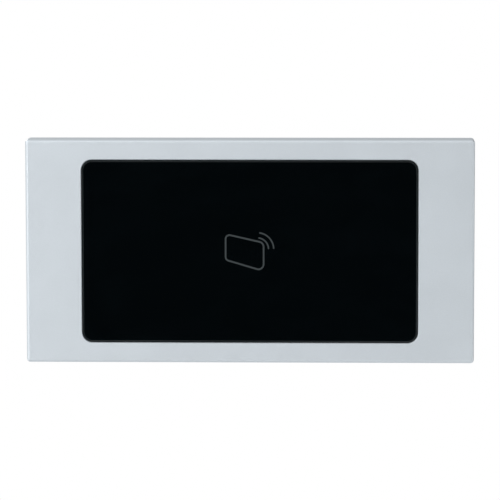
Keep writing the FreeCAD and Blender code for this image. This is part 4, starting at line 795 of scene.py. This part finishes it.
# Angles are in degrees: azimuth 0 is straight in front and positive to the right.
CAMERA_AZIMUTH, CAMERA_ELEVATION, CAMERA_ROLL = 2.05, 6.2, -0.1
CAMERA_TARGET = Vector((0.1 * MM, cad_low.y, 0.43 * MM))
CAMERA_DISTANCE = 0.8
CAMERA_LENS = 230.9

LAMP_DISTANCE = 1.2
LAMPS = (
    # name, azimuth and elevation, width and height, watts
    ("key", (-33, 13), (0.6, 0.8), 2.3),
    ("fill", (82, 8), (0.4, 0.5), 1.2),
    ("rear", (-128, 38), (0.5, 0.4), 3.6),
)

# The room's brightness, the way to its brightest side, and the half angles of the opening in front.
ROOM_DIM, ROOM_BRIGHT = 0.24, 1.14
BRIGHT_SIDE = Vector((-0.72, -0.6, 0.35)).normalized()
OPENING_DARK, OPENING_EDGE = 6.5, 15

# The floor glows towards its rim, so that it runs into the white room.
FLOOR_RADIUS = 1.0
FLOOR_BELOW = 0.26
FLOOR_TONES = (0.82, 0.82, 0.82), (0.85, 0.85, 0.85)
GLOW_START, GLOW_END, FLOOR_GLOW = 0.25, 0.9, 0.42


def direction(azimuth, elevation):
    """A unit vector from the object."""
    azimuth, elevation = math.radians(azimuth), math.radians(elevation)
    across = math.sin(azimuth) * math.cos(elevation)
    forward = math.cos(azimuth) * math.cos(elevation)
    return Vector((across, -forward, math.sin(elevation)))


def look_at(thing, target, roll=0.0):
    thing.rotation_mode = "QUATERNION"
    turn = (target - thing.location).to_track_quat("-Z", "Y")
    thing.rotation_quaternion = turn @ Quaternion((0.0, 0.0, 1.0), math.radians(roll))


def add_camera():
    """Almost straight in front, a little above and to the right of the middle."""
    data = bpy.data.cameras.new("camera")
    data.sensor_width = 36.0
    data.lens = CAMERA_LENS
    data.clip_start, data.clip_end = 0.01, 50.0
    camera = bpy.data.objects.new("camera", data)
    bpy.context.scene.collection.objects.link(camera)
    camera.location = CAMERA_TARGET + direction(CAMERA_AZIMUTH, CAMERA_ELEVATION) * CAMERA_DISTANCE
    look_at(camera, CAMERA_TARGET, CAMERA_ROLL)
    bpy.context.scene.camera = camera


def add_lamp(name, angles, size, power):
    """A soft rectangular lamp that shines on the object."""
    data = bpy.data.lights.new(name, "AREA")
    data.shape = "RECTANGLE"
    data.size, data.size_y = size
    data.energy = power
    lamp = bpy.data.objects.new(name, data)
    bpy.context.scene.collection.objects.link(lamp)
    lamp.location = direction(*angles) * LAMP_DISTANCE
    look_at(lamp, Vector((0.0, 0.0, 0.0)))


class Room:
    """The world's brightness by direction."""

    def __init__(self):
        self.world = bpy.data.worlds.new("studio")
        self.world.use_nodes = True
        self.tree = self.world.node_tree
        self.place = self.tree.nodes.new("ShaderNodeTexCoord").outputs["Generated"]

    def towards(self, vector):
        """The cosine of the angle to a direction."""
        made = self.tree.nodes.new("ShaderNodeVectorMath")
        made.operation = "DOT_PRODUCT"
        self.tree.links.new(self.place, made.inputs[0])
        made.inputs[1].default_value = vector
        return made.outputs["Value"]

    def span(self, value, numbers, kind):
        """Value from the first to the second number brought to between the third and the fourth."""
        made = self.tree.nodes.new("ShaderNodeMapRange")
        made.interpolation_type = kind
        self.tree.links.new(value, made.inputs[0])
        for socket, number in zip(made.inputs[1:5], numbers):
            socket.default_value = number
        return made.outputs[0]

    def times(self, first, second):
        made = self.tree.nodes.new("ShaderNodeMath")
        made.operation = "MULTIPLY"
        self.tree.links.new(first, made.inputs[0])
        self.tree.links.new(second, made.inputs[1])
        return made.outputs[0]


def add_world():
    """A room brightest at the upper left front, with a dark opening straight in front.

    Seen directly, behind the object, it is plain white.
    """
    room = Room()
    opening = room.towards(direction(-CAMERA_AZIMUTH, -CAMERA_ELEVATION))
    edge, dark = (math.cos(math.radians(angle)) for angle in (OPENING_EDGE, OPENING_DARK))
    open_dark = room.span(opening, (edge, dark, 1.0, 0.0), "SMOOTHSTEP")
    fall = room.span(room.towards(BRIGHT_SIDE), (-1.0, 1.0, ROOM_DIM, ROOM_BRIGHT), "LINEAR")
    strength = room.times(open_dark, fall)
    seen = room.tree.nodes.new("ShaderNodeLightPath").outputs["Is Camera Ray"]
    shown = room.tree.nodes.new("ShaderNodeMix")
    unseen_input, seen_input = MIX_NUMBERS
    room.tree.links.new(seen, shown.inputs["Factor"])
    room.tree.links.new(strength, shown.inputs[unseen_input])
    shown.inputs[seen_input].default_value = 1.0
    background = room.tree.nodes["Background"]
    background.inputs["Color"].default_value = (1.0, 1.0, 1.0, 1.0)
    room.tree.links.new(shown.outputs[0], background.inputs["Strength"])
    bpy.context.scene.world = room.world


def floor_material():
    """Pale and plain, glowing towards the rim, and clear from below."""
    f = Finish("floor", (0.9, 0.9, 0.9), 0.9, 0.0, {"Emission Color": (1.0, 1.0, 1.0, 1.0)})
    tone = f.blend(f.spread(f.noise(2 * MM, 2.0)), *FLOOR_TONES)
    out = f.vector_math("LENGTH", f.place, (0.0, 0.0, 0.0)).outputs["Value"]
    glow = f.span(out, GLOW_START, GLOW_END, 0.0, FLOOR_GLOW)
    f.plug(f.shader.inputs["Emission Strength"], glow)
    material = f.finish(tone)
    from_below = f.add("ShaderNodeNewGeometry").outputs["Backfacing"]
    one_sided = f.add("ShaderNodeMixShader")
    f.plug(one_sided.inputs[0], from_below)
    f.plug(one_sided.inputs[1], f.shader.outputs[0])
    f.plug(one_sided.inputs[2], f.add("ShaderNodeBsdfTransparent").outputs[0])
    f.plug(f.tree.nodes["Material Output"].inputs["Surface"], one_sided.outputs[0])
    return material


def add_floor():
    """A round floor well below the object."""
    shape = bmesh.new()
    bmesh.ops.create_circle(shape, cap_ends=True, segments=96, radius=FLOOR_RADIUS)
    mesh = bpy.data.meshes.new("floor")
    shape.to_mesh(mesh)
    shape.free()
    mesh.materials.append(floor_material())
    floor = bpy.data.objects.new("floor", mesh)
    floor.location = (0.0, 0.0, cad_low.z - FLOOR_BELOW)
    bpy.context.scene.collection.objects.link(floor)


add_camera()
add_world()
add_floor()
for lamp in LAMPS:
    add_lamp(*lamp)
bpy.context.scene.view_settings.view_transform = "Standard"
